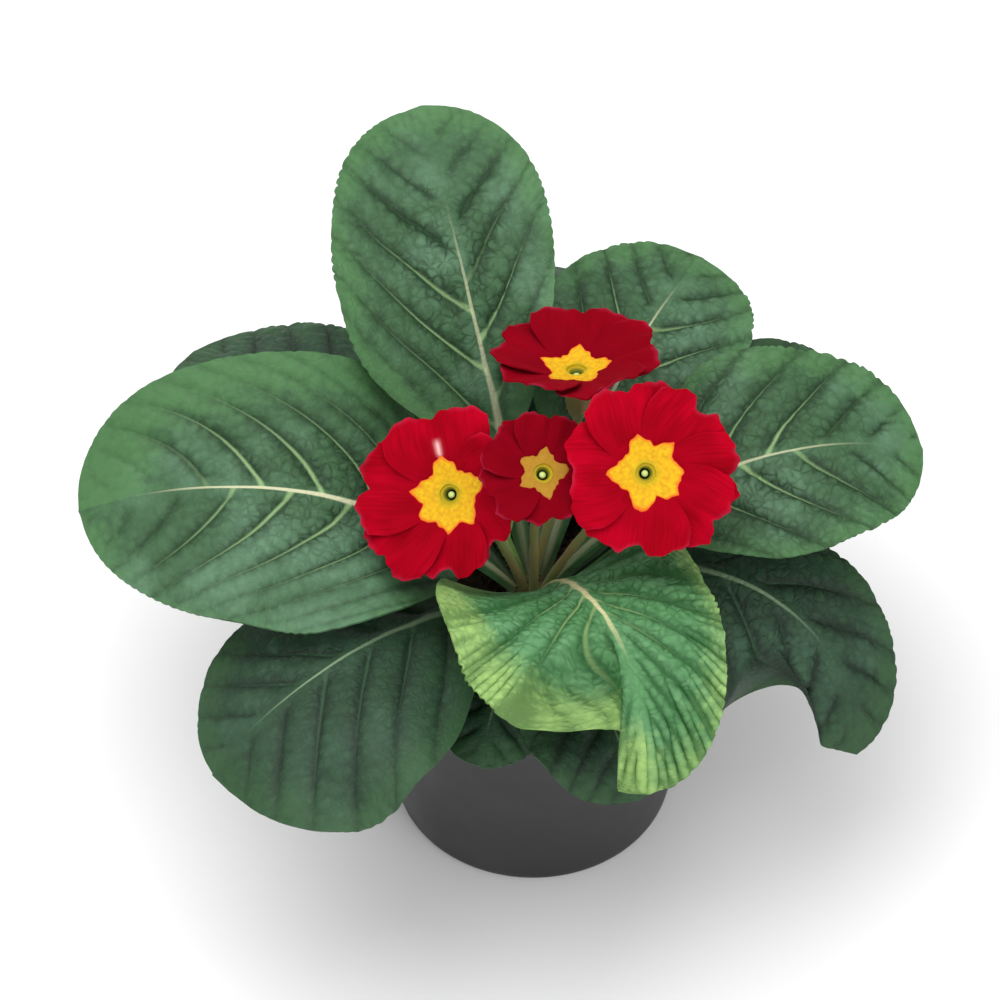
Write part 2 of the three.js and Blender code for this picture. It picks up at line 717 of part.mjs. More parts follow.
const CROWN_CLEARANCE = buildRootstock(GAP);
const primrose = new THREE.Group();

primrose.add(named("pot", buildPot(), COLOURS.pot, 0.45));
primrose.add(named("compost", buildCompost(), COLOURS.compost, 1));
primrose.add(named("rootstock", buildRootstock(), COLOURS.rootstock, 0.8));

for (const [name, entry] of Object.entries(LEAVES)) {
  const leaf = { ...LEAF_DEFAULTS, ...entry, tier: TIERS[name.split("_")[0]] };
  const isYoung = name === "inner" || name === "upper_front";
  primrose.add(named(`leaf_${name}`, buildLeaf(leaf), isYoung ? COLOURS.youngLeaf : COLOURS.leaf, 0.6));
}

for (const [name, flower] of Object.entries(FLOWERS)) {
  const facing = new THREE.Vector3(...flower.facing).normalize();
  const level = new THREE.Vector3(1, 0, 0).addScaledVector(facing, -facing.x).normalize();
  const toFlower = new THREE.Matrix4()
    .makeBasis(level, facing.clone().cross(level), facing)
    .setPosition(...flower.centre);
  const placed = (solid) => solid.transform(toFlower.elements);
  primrose.add(named(`flower_${name}_petals`, placed(buildPetals(flower)), COLOURS.petals, 0.7));
  primrose.add(named(`flower_${name}_eye`, placed(buildEye(flower)), COLOURS.eye, 0.6));
  primrose.add(named(`flower_${name}_pistil`, placed(buildPistil()), COLOURS.pistil, 0.5));
  primrose.add(named(`flower_${name}_stalk`, buildStalk(flower, toFlower), COLOURS.stalk, 0.7));
}

export default primrose;
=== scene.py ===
"""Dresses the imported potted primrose: crinkled leaves, velvety flowers, downy stalks, moist compost and
its pot.

Lengths in the tables are millimetres, as in the part. Meshes are in metres.
"""

import math
from functools import partial

import bpy
import numpy as np
from mathutils import Matrix, Vector


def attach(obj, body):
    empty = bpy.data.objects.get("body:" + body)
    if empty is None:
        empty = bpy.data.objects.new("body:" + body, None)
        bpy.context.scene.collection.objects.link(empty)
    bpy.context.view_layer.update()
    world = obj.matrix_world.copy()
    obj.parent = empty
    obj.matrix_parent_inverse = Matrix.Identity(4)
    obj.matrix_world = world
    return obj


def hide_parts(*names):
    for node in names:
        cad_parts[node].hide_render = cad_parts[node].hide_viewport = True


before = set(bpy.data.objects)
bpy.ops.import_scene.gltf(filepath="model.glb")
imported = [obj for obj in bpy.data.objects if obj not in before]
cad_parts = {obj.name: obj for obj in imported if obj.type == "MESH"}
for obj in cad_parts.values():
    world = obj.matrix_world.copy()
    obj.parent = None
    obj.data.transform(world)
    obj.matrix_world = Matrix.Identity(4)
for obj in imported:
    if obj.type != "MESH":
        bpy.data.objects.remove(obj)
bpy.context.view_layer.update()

MM = 0.001
WELD_DISTANCE = 0.01 * MM

# ---- the plant's own sizes, as in the part

CROWN_TOP = 80
TIERS = {"outer": (5, 70.6), "upper": (3.8, 74), "inner": (3.6, 78)}  # how far out and up the leaves spring
FOLD_RUN = 0.12  # a fold comes on over this share of the leaf's length,
FOLD_SLANT = 0.23  # starts so much further on at the margin,
FLAP_SHARE = 0.3  # and its flap is drawn in to this share of its width

# heading, swing, rise, fall and roll are degrees: the way a leaf sets off, how far it turns to the left on
# its way, its slope at the foot and at the tip, and how far it leans over. bend is how late the slope turns.
# stem is the share of the length where the blade starts, and widest the share of the blade where it is
# widest. skew is how much further on that is on the left half, and uneven how much wider that half is. fill
# is how slowly the blade widens, point how pointed it ends, cup how far its margins stand up, and wave and
# waves how high and many their waves are. fold is how far a flap is folded down, of the left half where it
# is above zero, from the share fold_at on and beyond the share fold_line of the half's width, with
# fold_flare more at the tip. lap is how much more the margins stand up at the foot, and tilt how much more
# the left one does.
#
# The rest is for the surface. veins is how many side veins spring from each side of the midrib, lean how far
# they lean forward at the foot, fan how much more each next millimetre of midrib makes them do so, and curl
# each millimetre further out. rib_end is where the midrib fades out, rib_pale how pale it is, and vein_reach
# where the side veins fade out. quilt is how strong the puckers between the veins are, and calm how far those
# fade outwards. teeth and crimp are how deep the margin's teeth and furrows are, and bright how much yellower
# the left margin is than the right one. The last key is painted light: how much paler the left half is
# painted, as if more lit, and the right half where it is below zero.
PLAIN_LEAF = dict(
    swing=0, bend=1.1, stem=0.16, widest=0.5, skew=0, uneven=0, fill=0.95, wave=1.6, waves=3, point=0.5,
    fold=0, fold_at=0.63, fold_line=0.06, fold_flare=0, lap=0, tilt=0,
    tone="old", veins=9, lean=0.7, fan=0.002, curl=0.01, rib_end=0.85, rib_pale=1, vein_reach=0.85,
    quilt=0.7, calm=0.3, teeth=0.6, crimp=0.25, bright=0, lit_half=0,
)
SWINGING = dict(
    fall=-88, swing=-68, uneven=-0.3, wave=2.6, point=0.9, fold=-100, fold_at=0.53, fold_line=0.28,
    lean=1, rib_end=0.7, teeth=0.3, lit_half=0.4,
)
NARROW_FOOT = dict(cup=2, stem=0.24, fill=1.15, tone="grown", rib_pale=0.7)
BROAD = dict(
    widest=0.4, skew=0.04, uneven=0.01, fill=0.62, tone="grown", veins=10, lean=0.5, fan=0, curl=0.03,
    quilt=0.6, calm=0.7, teeth=0.3, crimp=0.1, bright=-0.12, lit_half=0.6,
)
FULL_LEFT = dict(
    roll=8, cup=-3, widest=0.6, skew=0.07, uneven=0.2, lean=1, fan=0, curl=-0.003,
    quilt=0.55, calm=0.4, teeth=0.2, crimp=0.1, lit_half=0.6,
)
FULL_RIGHT = dict(roll=-8, cup=-2, widest=0.56, skew=-0.06, uneven=-0.08, teeth=0.3)
TALL = dict(
    stem=0.26, widest=0.53, swing=-9, skew=-0.1, uneven=0.14, tone="grown", veins=10, lean=1.5, fan=-0.005,
    curl=0.006, rib_end=0.75, rib_pale=0.55, quilt=0.8, calm=0.6, lit_half=-0.4,
)
FOLDED_TIP = dict(
    fall=-54, swing=-27, skew=-0.07, uneven=-0.15, fold=-105, fold_at=0.56, fold_line=0.01, fold_flare=0.2,
    stem=0.05, widest=0.4, fill=0.55, lap=17, tilt=-6,
)
YOUNG = dict(
    tone="young", veins=17, lean=-0.7, fan=0.04, curl=0, rib_end=0.66, vein_reach=0.6, quilt=0.55, calm=0,
    teeth=0.5, crimp=1, bright=-0.08,
)
LEAVES = {
    "outer_front_left": dict(heading=-143.5, length=111, width=79, rise=46, fall=-44, **FULL_LEFT),
    "outer_front_low": dict(heading=-103, length=64, width=36, rise=43, fall=-28, roll=-5, cup=-2),
    "outer_front": dict(heading=-68, length=77, width=43, rise=51, fall=-57, **FULL_RIGHT),
    "outer_front_right": dict(heading=-5, length=122, width=65, rise=52, roll=10, cup=-6, **SWINGING),
    "outer_right": dict(heading=35, length=118, width=63, rise=37, fall=-34, roll=12, cup=-3),
    "outer_back_right": dict(heading=84, length=118, width=64, rise=38, fall=-36, roll=12, cup=-3),
    "outer_back_left": dict(heading=140, length=124, width=66, rise=40, fall=-30, roll=8, cup=-3),
    "upper_left": dict(heading=177, length=134, width=77.5, rise=56, fall=-34, roll=-24, cup=3, **BROAD),
    "upper_back": dict(heading=109, length=140, width=61, rise=66, fall=2, roll=-2, cup=3, **TALL),
    "upper_back_right": dict(heading=62.4, length=112, width=57, rise=60, fall=-22, roll=8, **NARROW_FOOT),
    "upper_front": dict(
        heading=-61, length=109, width=72.5, rise=74, roll=-6, cup=-2, **FOLDED_TIP, **YOUNG
    ),
    "upper_right": dict(heading=14, length=120, width=62, rise=60, fall=-32, roll=12, **NARROW_FOOT),
    "inner": dict(
        heading=147, length=42, width=17, rise=72, fall=40, roll=0, cup=4, stem=0.34, tone="young", veins=6
    ),
}
THIN_LEAF = 30  # a leaf that is narrower than this has half the midrib

# Each petal: its direction in degrees, then half its width and its length as shares of the flower's radius.
# A flower's foot is where its stalk springs from the crown, and cup how far its petals stand up. The last two
# are painted shade, for a flower that lies in shade: how much darker its red is, and how much browner its eye
# is.
FLOWERS = {
    "right": dict(
        centre=(29, -6.9, 134.6), facing=(0.14, -0.6, 0.79), radius=23.5, cup=0, foot=(2.2, -0.6),
        petals=[(0, 0.46, 1.06), (48, 0.52, 1.02), (103, 0.54, 1.02),
                (183, 0.6, 0.9), (262, 0.58, 0.91), (327, 0.47, 1.03)],
        painted_shade=0.0, painted_eye_shade=0.0,
    ),
    "left": dict(
        centre=(-22, -5, 123.7), facing=(-0.3, -0.56, 0.77), radius=23.5, cup=0, foot=(-2.2, -0.4),
        petals=[(20, 0.5, 0.76), (103, 0.62, 0.96), (175, 0.52, 1.08),
                (222, 0.48, 1.11), (268, 0.5, 0.94), (312, 0.46, 0.84)],
        painted_shade=0.1, painted_eye_shade=0.1,
    ),
    "middle": dict(
        centre=(2.2, -6.2, 133.4), facing=(0.12, -0.4, 0.91), radius=16, cup=0.04, foot=(-0.1, -2.3),
        petals=[(12, 0.56, 0.95), (84, 0.57, 1.02), (146, 0.53, 1.06), (210, 0.55, 1.04), (282, 0.57, 0.86)],
        painted_shade=0.8, painted_eye_shade=0.7,
    ),
    "back": dict(
        centre=(11.2, 27.6, 134.9), facing=(-0.04, 0.3, 0.95), radius=22, cup=0.24, foot=(-0.3, 1.7),
        petals=[(8, 0.56, 1), (84, 0.62, 1), (160, 0.56, 1), (226, 0.54, 0.96), (296, 0.55, 0.96)],
        painted_shade=0.7, painted_eye_shade=0.0,
    ),
}
TUBE_RADIUS = 2.1
TUBE_LENGTH = 11
CALYX_RADIUS = 3.3
STALK_RADIUS = 1.15

POT_HEIGHT = 80
POT_RIM_RADIUS = 52.5
POT_RIM_SKIRT = 8
POT_BASE_RADIUS = 37.5
POT_WALL = 1.3
WALL_TOP_RADIUS = POT_RIM_RADIUS - 3.2
RIM_UNDERSIDE = POT_HEIGHT - POT_RIM_SKIRT
RING_INNER, RING_OUTER, RING_HEIGHT = 21, 33, 3  # the raised channel under the base
HOLE_COUNT, HOLE_RADIUS, HOLE_CIRCLE = 8, 3, 27  # the drain holes in it
COMPOST_TOP = 68
COMPOST_RADIUS = 46
COMPOST_DOME = 1.5

# ---- the fine surface's sizes

LEAF_CELL = 0.75  # a leaf's mesh is this fine
BLADE_THICKNESS = 0.65
MIDRIB_DEPTH = 1.2
ARCH_HEIGHT = 0.7  # how far a leaf arches up between two side veins
FURROW_DEPTH = 0.6  # how much further down each side vein lies
FURROW_WIDTH = 1.2  # on each side of the vein
PUCKER_SIZE = 3.6  # between the small veins, along a side vein
PUCKER_HEIGHT = 0.75
BLISTER_SIZE = 2.2
BLISTER_HEIGHT = 0.2
BILLOW_HEIGHT = 0.9  # of the slow rise and fall of the whole blade
BILLOW_SIZE = 24
SIDE_VEIN_WIDTH = 0.65  # half of it, where it springs from the midrib
TOOTH_PITCH = 3.1
CRIMP_PITCH = 3.2  # between two furrows of a crimped margin
PETAL_THICKNESS = 0.45
STALK_HAIRS, CALYX_HAIRS, CRUMB_COUNT = 260, 160, 620
FLECKED_PETAL = ("left", 1)  # a pale fleck runs out from the eye on it

# ---- small helpers


def ease(x, low, high):
    t = np.clip((x - low) / (high - low), 0, 1)
    return t * t * (3 - 2 * t)


def mix(a, b, t):
    return a + (b - a) * t


def bump(x, centre, width):
    return np.exp(-(((x - centre) / width) ** 2))


def unit(vectors):
    return vectors / np.linalg.norm(vectors, axis=1, keepdims=True)


def select_only(*objects):
    bpy.ops.object.select_all(action="DESELECT")
    for item in objects:
        item.select_set(True)
    bpy.context.view_layer.objects.active = objects[0]


def added(add, **settings):
    """What one of Blender's add operators makes, with nothing else selected."""
    bpy.ops.object.select_all(action="DESELECT")
    add(**settings)
    return bpy.context.active_object


def new_grid(name, columns, rows):
    """A flat sheet of cells, and each corner's share of the way across and along it."""
    sheet = added(bpy.ops.mesh.primitive_grid_add, x_subdivisions=columns, y_subdivisions=rows, size=1)
    sheet.name = sheet.data.name = name
    flat = np.empty(len(sheet.data.vertices) * 3)
    sheet.data.vertices.foreach_get("co", flat)
    flat = flat.reshape(-1, 3)
    return sheet, flat[:, 0] + 0.5, flat[:, 1] + 0.5


def new_tube(name, sides, rings):
    """A flat sheet that is to be wrapped into a tube, and each corner's ring and its turn around it."""
    sheet, across, along = new_grid(name, sides, rings)
    turn = 2 * np.pi * (np.rint(across * sides) % sides) / sides
    return sheet, np.rint(along * rings).astype(int), turn


def shape(sheet, points):
    """Moves each corner of a sheet to its point, given in millimetres."""
    sheet.data.vertices.foreach_set("co", (np.asarray(points) * MM).ravel())
    sheet.data.update()


def around(radius, turn, height):
    """Points at a radius and height around +Z."""
    return np.stack([radius * np.cos(turn), radius * np.sin(turn), height], axis=1)


def add_map(sheet, name, across, along):
    """A UV map from two values at each corner."""
    layer = sheet.data.uv_layers.new(name=name)
    corners = np.empty(len(sheet.data.loops), dtype=np.int32)
    sheet.data.loops.foreach_get("vertex_index", corners)
    layer.data.foreach_set("uv", np.stack([across[corners], along[corners]], axis=1).ravel())


def add_value(sheet, name, values):
    """A number at each corner, which materials read by its name."""
    layer = sheet.data.attributes.new(name=name, type="FLOAT", domain="POINT")
    layer.data.foreach_set("value", np.asarray(values, dtype=np.float32))


def edit(sheet, *steps):
    """Runs edit-mode steps on the whole of a mesh."""
    select_only(sheet)
    bpy.ops.object.mode_set(mode="EDIT")
    bpy.ops.mesh.select_all(action="SELECT")
    for step in steps:
        step()
    bpy.ops.object.mode_set(mode="OBJECT")


def weld(sheet):
    """Closes a mesh's seams and poles, and turns its faces outward."""
    edit(
        sheet,
        lambda: bpy.ops.mesh.remove_doubles(threshold=WELD_DISTANCE),
        lambda: bpy.ops.mesh.dissolve_degenerate(threshold=WELD_DISTANCE),
        lambda: bpy.ops.mesh.normals_make_consistent(inside=False),
    )


def smooth(sheet, degrees):
    select_only(sheet)
    bpy.ops.object.shade_smooth_by_angle(angle=math.radians(degrees))


def thicken(sheet, depth, group="", lining=0):
    """Gives a sheet a wall of some millimetres under its upper face, thinner where a vertex group says so.
    The underside's material comes lining places after the upper face's."""
    wall = sheet.modifiers.new("wall", "SOLIDIFY")
    wall.thickness = depth * MM
    wall.offset = -1
    wall.vertex_group = group
    wall.material_offset = lining
    apply_modifiers(sheet)
    weld(sheet)
    smooth(sheet, 60)


def apply_modifiers(sheet):
    select_only(sheet)
    for modifier in list(sheet.modifiers):
        bpy.ops.object.modifier_apply(modifier=modifier.name)


def wrapped(name, profile, sides, radial=None):
    """A closed shape of revolution about +Z: a sheet wrapped round a profile of (radius, height) pairs.
    radial(radius, height, turn) may change each corner's radius and height."""
    profile = np.asarray(profile, dtype=float)
    sheet, row, turn = new_tube(name, sides, len(profile) - 1)
    radius, height = profile[row, 0], profile[row, 1]
    if radial:
        radius, height = radial(radius, height, turn)
    shape(sheet, around(radius, turn, height))
    weld(sheet)
    return sheet


def joined(name, *objects):
    select_only(*objects)
    bpy.ops.object.join()
    whole = bpy.context.active_object
    whole.name = whole.data.name = name
    return whole


def cover(piece, *materials):
    piece.data.materials.clear()
    for material in materials:
        piece.data.materials.append(material)


def finish_piece(piece, node, slot, *materials):
    cover(piece, *materials)
    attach(piece, "root")
    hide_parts(node)


class Cells:
    """A seeded pattern of uneven cells on the plane."""

    def __init__(self, seed):
        self.jitter = np.random.default_rng(seed).random((64, 64, 2))

    def __call__(self, x, y):
        """Each point's distance to the nearest cell's middle, and how much further the next one is."""
        distances = []
        for i in (-1, 0, 1):
            for j in (-1, 0, 1):
                cell_x, cell_y = np.floor(x) + i, np.floor(y) + j
                spot = self.jitter[cell_x.astype(int) % 64, cell_y.astype(int) % 64]
                distances.append(np.hypot(cell_x + spot[:, 0] - x, cell_y + spot[:, 1] - y))
        ordered = np.sort(np.stack(distances), axis=0)
        return ordered[0], ordered[1] - ordered[0]


class Noise:
    """A seeded smooth pattern of highs and lows, from -1 to 1, on the plane."""

    def __init__(self, seed):
        self.heights = np.random.default_rng(seed).random((64, 64)) * 2 - 1

    def __call__(self, x, y):
        i, j = np.floor(x).astype(int), np.floor(y).astype(int)
        across, along = ease(x - i, 0, 1), ease(y - j, 0, 1)
        near = mix(self.heights[i % 64, j % 64], self.heights[(i + 1) % 64, j % 64], across)
        far = mix(self.heights[i % 64, (j + 1) % 64], self.heights[(i + 1) % 64, (j + 1) % 64], across)
        return mix(near, far, along)


# ---- materials

# settings that many nodes share
COLOUR = dict(output=2, data_type="RGBA")
SMOOTH = dict(interpolation_type="SMOOTHSTEP")
FLAT = dict(noise_dimensions="2D")


def linear(code):
    """An sRGB hex colour as the linear one that a socket takes."""
    channels = [int(code[i : i + 2], 16) / 255 for i in (1, 3, 5)]
    return (*[c / 12.92 if c <= 0.04045 else ((c + 0.055) / 1.055) ** 2.4 for c in channels], 1)


def add_node(material, kind, inputs=None, output=0, **settings):
    """Adds a node and returns one of its outputs. An input is a value, or another node's output to link."""
    node = material.node_tree.nodes.new("ShaderNode" + kind)
    for key, value in settings.items():
        setattr(node, key, value)
    for key, value in (inputs or {}).items():
        if isinstance(value, bpy.types.NodeSocket):
            material.node_tree.links.new(value, node.inputs[key])
        else:
            node.inputs[key].default_value = value
    return node.outputs[output] if node.outputs else None


def new_material(name, look, *details):
    """A material with one shader, whose inputs look gives. It gets add, which is add_node for this one."""
    material = bpy.data.materials.new(name)
    material.use_nodes = True
    material.node_tree.nodes.clear()
    add = partial(add_node, material)
    add("OutputMaterial", {"Surface": add("BsdfPrincipled", look(add, *details))})
    return material


def mottled(add, dark, pale, scale, detail=2, low=0.3, high=0.7, most=1):
    """A place on the piece, a noise there, and a colour that goes from dark to pale with the noise."""
    spot = add("TexCoord", output="Object")
    noise = add("TexNoise", {"Vector": spot, "Scale": scale, "Detail": detail})
    share = add("MapRange", {0: noise, 1: low, 2: high, 4: most})
    return spot, noise, add("Mix", {0: share, 6: linear(dark), 7: linear(pale)}, **COLOUR)


LEAF_VALUES = ("relief", "edge", "vein", "vein_scale", "pale_rib", "lit_half", "creased")
LEAF_COLOURS = {
    # tone: (painted shade down in the furrows, on the puckers, painted bluish sheen in pale patches, at the
    # margin), (side veins, midrib)
    "old": (("#16291B", "#27442D", "#3A5A45", "#30522F"), ("#2E4C33", "#72896A")),
    "grown": (("#18341A", "#3A5D3C", "#5F8368", "#4A7645"), ("#84A470", "#BFC09C")),
    "young": (("#2A5A2E", "#538755", "#69986F", "#A0C06A"), ("#8CAA6E", "#C9C594")),
}


def fine_creases(add, values, flat, mottle):
    """How deep the creases of a leaf's skin are, which lie 2 to 3 mm apart and come and go."""
    shift = add("TexNoise", {"Vector": flat, "Scale": 0.25, "Detail": 1}, output=1, **FLAT)
    warped = add("VectorMath", {0: shift, 1: (3, 3, 3), 2: flat}, operation="MULTIPLY_ADD")
    creases = {"Vector": warped, "Scale": 0.4}
    gap = add("TexVoronoi", creases, voronoi_dimensions="2D", feature="DISTANCE_TO_EDGE")
    crease = add("MapRange", {0: gap, 1: 0, 2: 0.3, 3: 1, 4: 0}, **SMOOTH)
    come = add("MapRange", {0: mottle, 1: 0.25, 2: 0.7}, **SMOOTH)
    come = add("Math", {0: come, 1: values["creased"]}, operation="MULTIPLY")
    return add("Math", {0: crease, 1: come}, operation="MULTIPLY")


def leaf_green(add, greens, values, flat, mottle, crease):
    """Painted shade deep in the furrows and fine creases, paler on the puckers as painted light, painted
    bluish sheen in patches on the raised parts, more on the lit half, and yellower at the margin, dimmed by
    the painted shade in the furrows.
    """
    painted_shade, puff, painted_sheen, margin = (linear(c) for c in greens)
    uneven = add("Math", {0: mottle, 1: 0.6, 2: -0.3}, operation="MULTIPLY_ADD")
    # painted shade: the colour darkens toward the furrows and in the fine creases, and is paler on the
    # puckers
    height = add("Math", {0: values["relief"], 1: uneven}, operation="ADD")
    height = add("Math", {0: crease, 1: -0.9, 2: height}, operation="MULTIPLY_ADD")
    share = add("MapRange", {0: height, 1: 0, 2: 0.8}, **SMOOTH)
    colour = add("Mix", {0: share, 6: painted_shade, 7: puff}, **COLOUR)
    # painted sheen: pale bluish patches, only on the raised parts and more on the lit half
    sheen_patches = add("TexNoise", {"Vector": flat, "Scale": 0.045, "Detail": 3}, **FLAT)
    # painted light: the lit half of the blade gets more painted sheen
    sheen_patches = add("Math", {0: values["lit_half"], 1: 0.4, 2: sheen_patches}, operation="MULTIPLY_ADD")
    share = add("MapRange", {0: sheen_patches, 1: 0.6, 2: 0.95, 4: 0.9}, **SMOOTH)
    share = add("Math", {0: share, 1: height}, operation="MULTIPLY", use_clamp=True)
    colour = add("Mix", {0: share, 6: colour, 7: painted_sheen}, **COLOUR)
    share = add("Math", {0: values["edge"], 1: uneven}, operation="ADD")
    share = add("MapRange", {0: share, 1: 0.1, 2: 1, 4: 0.95}, **SMOOTH)
    # the painted shade dims the yellower margin in the furrows too
    dim = add("MapRange", {0: height, 3: 0.3})
    share = add("Math", {0: share, 1: dim}, operation="MULTIPLY")
    return add("Mix", {0: share, 6: colour, 7: margin}, **COLOUR)


def veined(add, ribs, values, colour):
    """A leaf's colour with its veins: side veins some 1 mm wide, by turns on the left and the right, and
    the midrib, nearly 4 mm wide at its foot."""
    vein, midrib = (linear(c) for c in ribs)
    lines = add("SeparateXYZ", {0: add("UVMap", uv_map="veins")}).node.outputs
    is_left = add("Math", {0: lines["Y"], 1: 0}, operation="GREATER_THAN")
    row = add("Math", {0: is_left, 1: -0.5, 2: lines["X"]}, operation="MULTIPLY_ADD")
    from_vein = add("Math", {0: row, 1: 0.5}, operation="PINGPONG")
    from_vein = add("Math", {0: from_vein, 1: values["vein_scale"]}, operation="MULTIPLY")
    share = add("MapRange", {0: from_vein, 1: 0.2, 2: 1.6, 3: 0.9, 4: 0}, **SMOOTH)
    share = add("Math", {0: share, 1: values["vein"]}, operation="MULTIPLY")
    colour = add("Mix", {0: share, 6: colour, 7: vein}, **COLOUR)
    from_midrib = add("Math", {0: lines["Y"]}, operation="ABSOLUTE")
    share = add("MapRange", {0: from_midrib, 1: 0.6, 2: 1.4, 3: 1, 4: 0}, **SMOOTH)
    share = add("Math", {0: share, 1: values["pale_rib"]}, operation="MULTIPLY")
    return add("Mix", {0: share, 6: colour, 7: midrib}, **COLOUR)


def leaf_look(add, tone):
    """Primrose leaf, grown: a waxy, puckered skin with pale veins in its furrows and a yellower margin, with
    painted shade in the furrows and painted sheen on the puckers.
    """
    greens, ribs = LEAF_COLOURS[tone]
    values = {value: add("Attribute", output="Fac", attribute_name=value) for value in LEAF_VALUES}
    flat = add("UVMap", uv_map="flat_mm")
    mottle = add("TexNoise", {"Vector": flat, "Scale": 0.4, "Detail": 4}, **FLAT)
    grain = add("TexNoise", {"Vector": flat, "Scale": 1.2, "Detail": 3}, **FLAT)
    crease = fine_creases(add, values, flat, mottle)
    skin = add("Math", {0: crease, 1: -4, 2: grain}, operation="MULTIPLY_ADD")
    return {
        "Base Color": veined(add, ribs, values, leaf_green(add, greens, values, flat, mottle, crease)),
        "Normal": add("Bump", {"Strength": 0.35, "Distance": 0.0003, "Height": skin}),
        "Roughness": add("MapRange", {0: grain, 1: 0.2, 2: 0.8, 3: 0.5, 4: 0.68}),
        "IOR": 1.42,
        "Specular IOR Level": 0.35,
    }


def leaf_underside_look(add):
    """Underside of a primrose leaf, grown: paler, matt and downy."""
    relief = add("Attribute", output="Fac", attribute_name="relief")
    flat = add("UVMap", uv_map="flat_mm")
    shades = {0: relief, 6: linear("#9DB482"), 7: linear("#738F66")}
    colour = add("Mix", shades, **COLOUR)
    down = add("TexNoise", {"Vector": flat, "Scale": 3, "Detail": 4}, **FLAT)
    normal = add("Bump", {"Strength": 0.4, "Distance": 0.0002, "Height": down})
    return {"Base Color": colour, "Normal": normal, "Roughness": 0.8, "Sheen Weight": 0.2}


def petal_look(add):
    """Primrose petal, grown: velvet, so matt with a soft edge glow. Red, deeper by the eye, darker with
    painted shade on a flower that lies in shade, and a thin paler rim of painted sheen."""
    values = (add("Attribute", output="Fac", attribute_name=value) for value in ("painted_shade", "rim", "fleck"))
    # the first is painted shade, darker over a flower that lies in shade
    painted_shade, rim, fleck = values
    place = add("UVMap", uv_map="petal")
    stretched = add("Mapping", {0: place, "Scale": (9, 1, 1)})
    streaks = add("TexNoise", {"Vector": stretched, "Scale": 2.2, "Detail": 4}, **FLAT)
    clouds = add("TexNoise", {"Vector": place, "Scale": 1.8, "Detail": 1}, **FLAT)
    out = add("SeparateXYZ", {0: place}, output="Y")
    shades = add("Math", {0: streaks, 1: clouds}, operation="ADD")
    shades = add("MapRange", {0: shades, 1: 0.55, 2: 1.45}, **SMOOTH)
    shades = {0: shades, 6: linear("#8C0010"), 7: linear("#AE001E")}
    colour = add("Mix", shades, **COLOUR)
    foot = add("MapRange", {0: out, 1: 0.4, 2: 0.85, 3: 0.45, 4: 0})
    # the rim tint is painted sheen: a paler pink glint along the velvet's edge
    for share, tint in ((foot, "#7A000C"), (painted_shade, "#6A000E"), (rim, "#C4385C"), (fleck, "#F2B4B4")):
        colour = add("Mix", {0: share, 6: colour, 7: linear(tint)}, **COLOUR)
    return {
        "Base Color": colour,
        "Normal": add("Bump", {"Strength": 0.25, "Distance": 0.0002, "Height": streaks}),
        "Roughness": 0.9,
        "Specular IOR Level": 0.04,
        "Sheen Weight": 0.08,
        "Sheen Roughness": 0.5,
        "Sheen Tint": linear("#FF1040"),
    }


def eye_look(add):
    """Eye of a primrose, grown: mealy yellow, orange at the star's edge, green in the throat, darker deep in
    the bore with painted shade, and browner on a flower in shade with painted shade.
    """
    values = (add("Attribute", output="Fac", attribute_name=value) for value in ("out", "bore", "painted_eye_shade"))
    star, bore, painted_eye_shade = values
    _, meal, colour = mottled(add, "#C69000", "#DEB000", 900)
    # from, to, share at from, share at to, tint
    bands = (
        (star, 0.0, 0.3, 0.7, 0.0, "#A89A0C"),
        (star, 0.78, 0.97, 0.0, 1.0, "#DC5E06"),
        # painted shade: the eye of a flower that lies in shade is browner
        (painted_eye_shade, 0.0, 1.0, 0.0, 1.0, "#94681A"),
        (bore, 0.1, 0.5, 0.0, 1.0, "#5C6618"),
        # deep in the bore, painted shade darkens the olive green throat nearly to black
        (bore, 0.5, 1.0, 0.0, 1.0, "#2C360E"),
    )
    for value, low, high, share_low, share_high, tint in bands:
        band = {0: value, 1: low, 2: high, 3: share_low, 4: share_high}
        share = add("MapRange", band, **SMOOTH)
        colour = add("Mix", {0: share, 6: colour, 7: linear(tint)}, **COLOUR)
    normal = add("Bump", {"Strength": 0.3, "Distance": 0.0001, "Height": meal})
    return {"Base Color": colour, "Normal": normal, "Roughness": 0.7, "IOR": 1.35}


def pistil_look(add):
    """Stigma, grown: pale green, moist and so glossy."""
    _, _, colour = mottled(add, "#A9BE5A", "#D3DE93", 1500, low=0, high=1)
    return {"Base Color": colour, "Roughness": 0.3}


def stalk_look(add):
    """Flower stalk and calyx, grown: downy, so it looks soft, olive green with a flush of brown."""
    spot, _, colour = mottled(add, "#7F8E4A", "#957B4C", 90, low=0.35)
    fibre = add("TexNoise", {"Vector": spot, "Scale": 2500, "Detail": 2})
    normal = add("Bump", {"Strength": 0.3, "Distance": 0.0001, "Height": fibre})
    return {"Base Color": colour, "Normal": normal, "Roughness": 0.65, "Sheen Weight": 0.3}


def rootstock_look(add):
    """Rootstock, grown: corky, so matt, pale brown and fibrous."""
    _, fibre, colour = mottled(add, "#4E3E28", "#7B7244", 400, detail=4)
    normal = add("Bump", {"Strength": 0.6, "Distance": 0.0005, "Height": fibre})
    return {"Base Color": colour, "Normal": normal, "Roughness": 0.85}


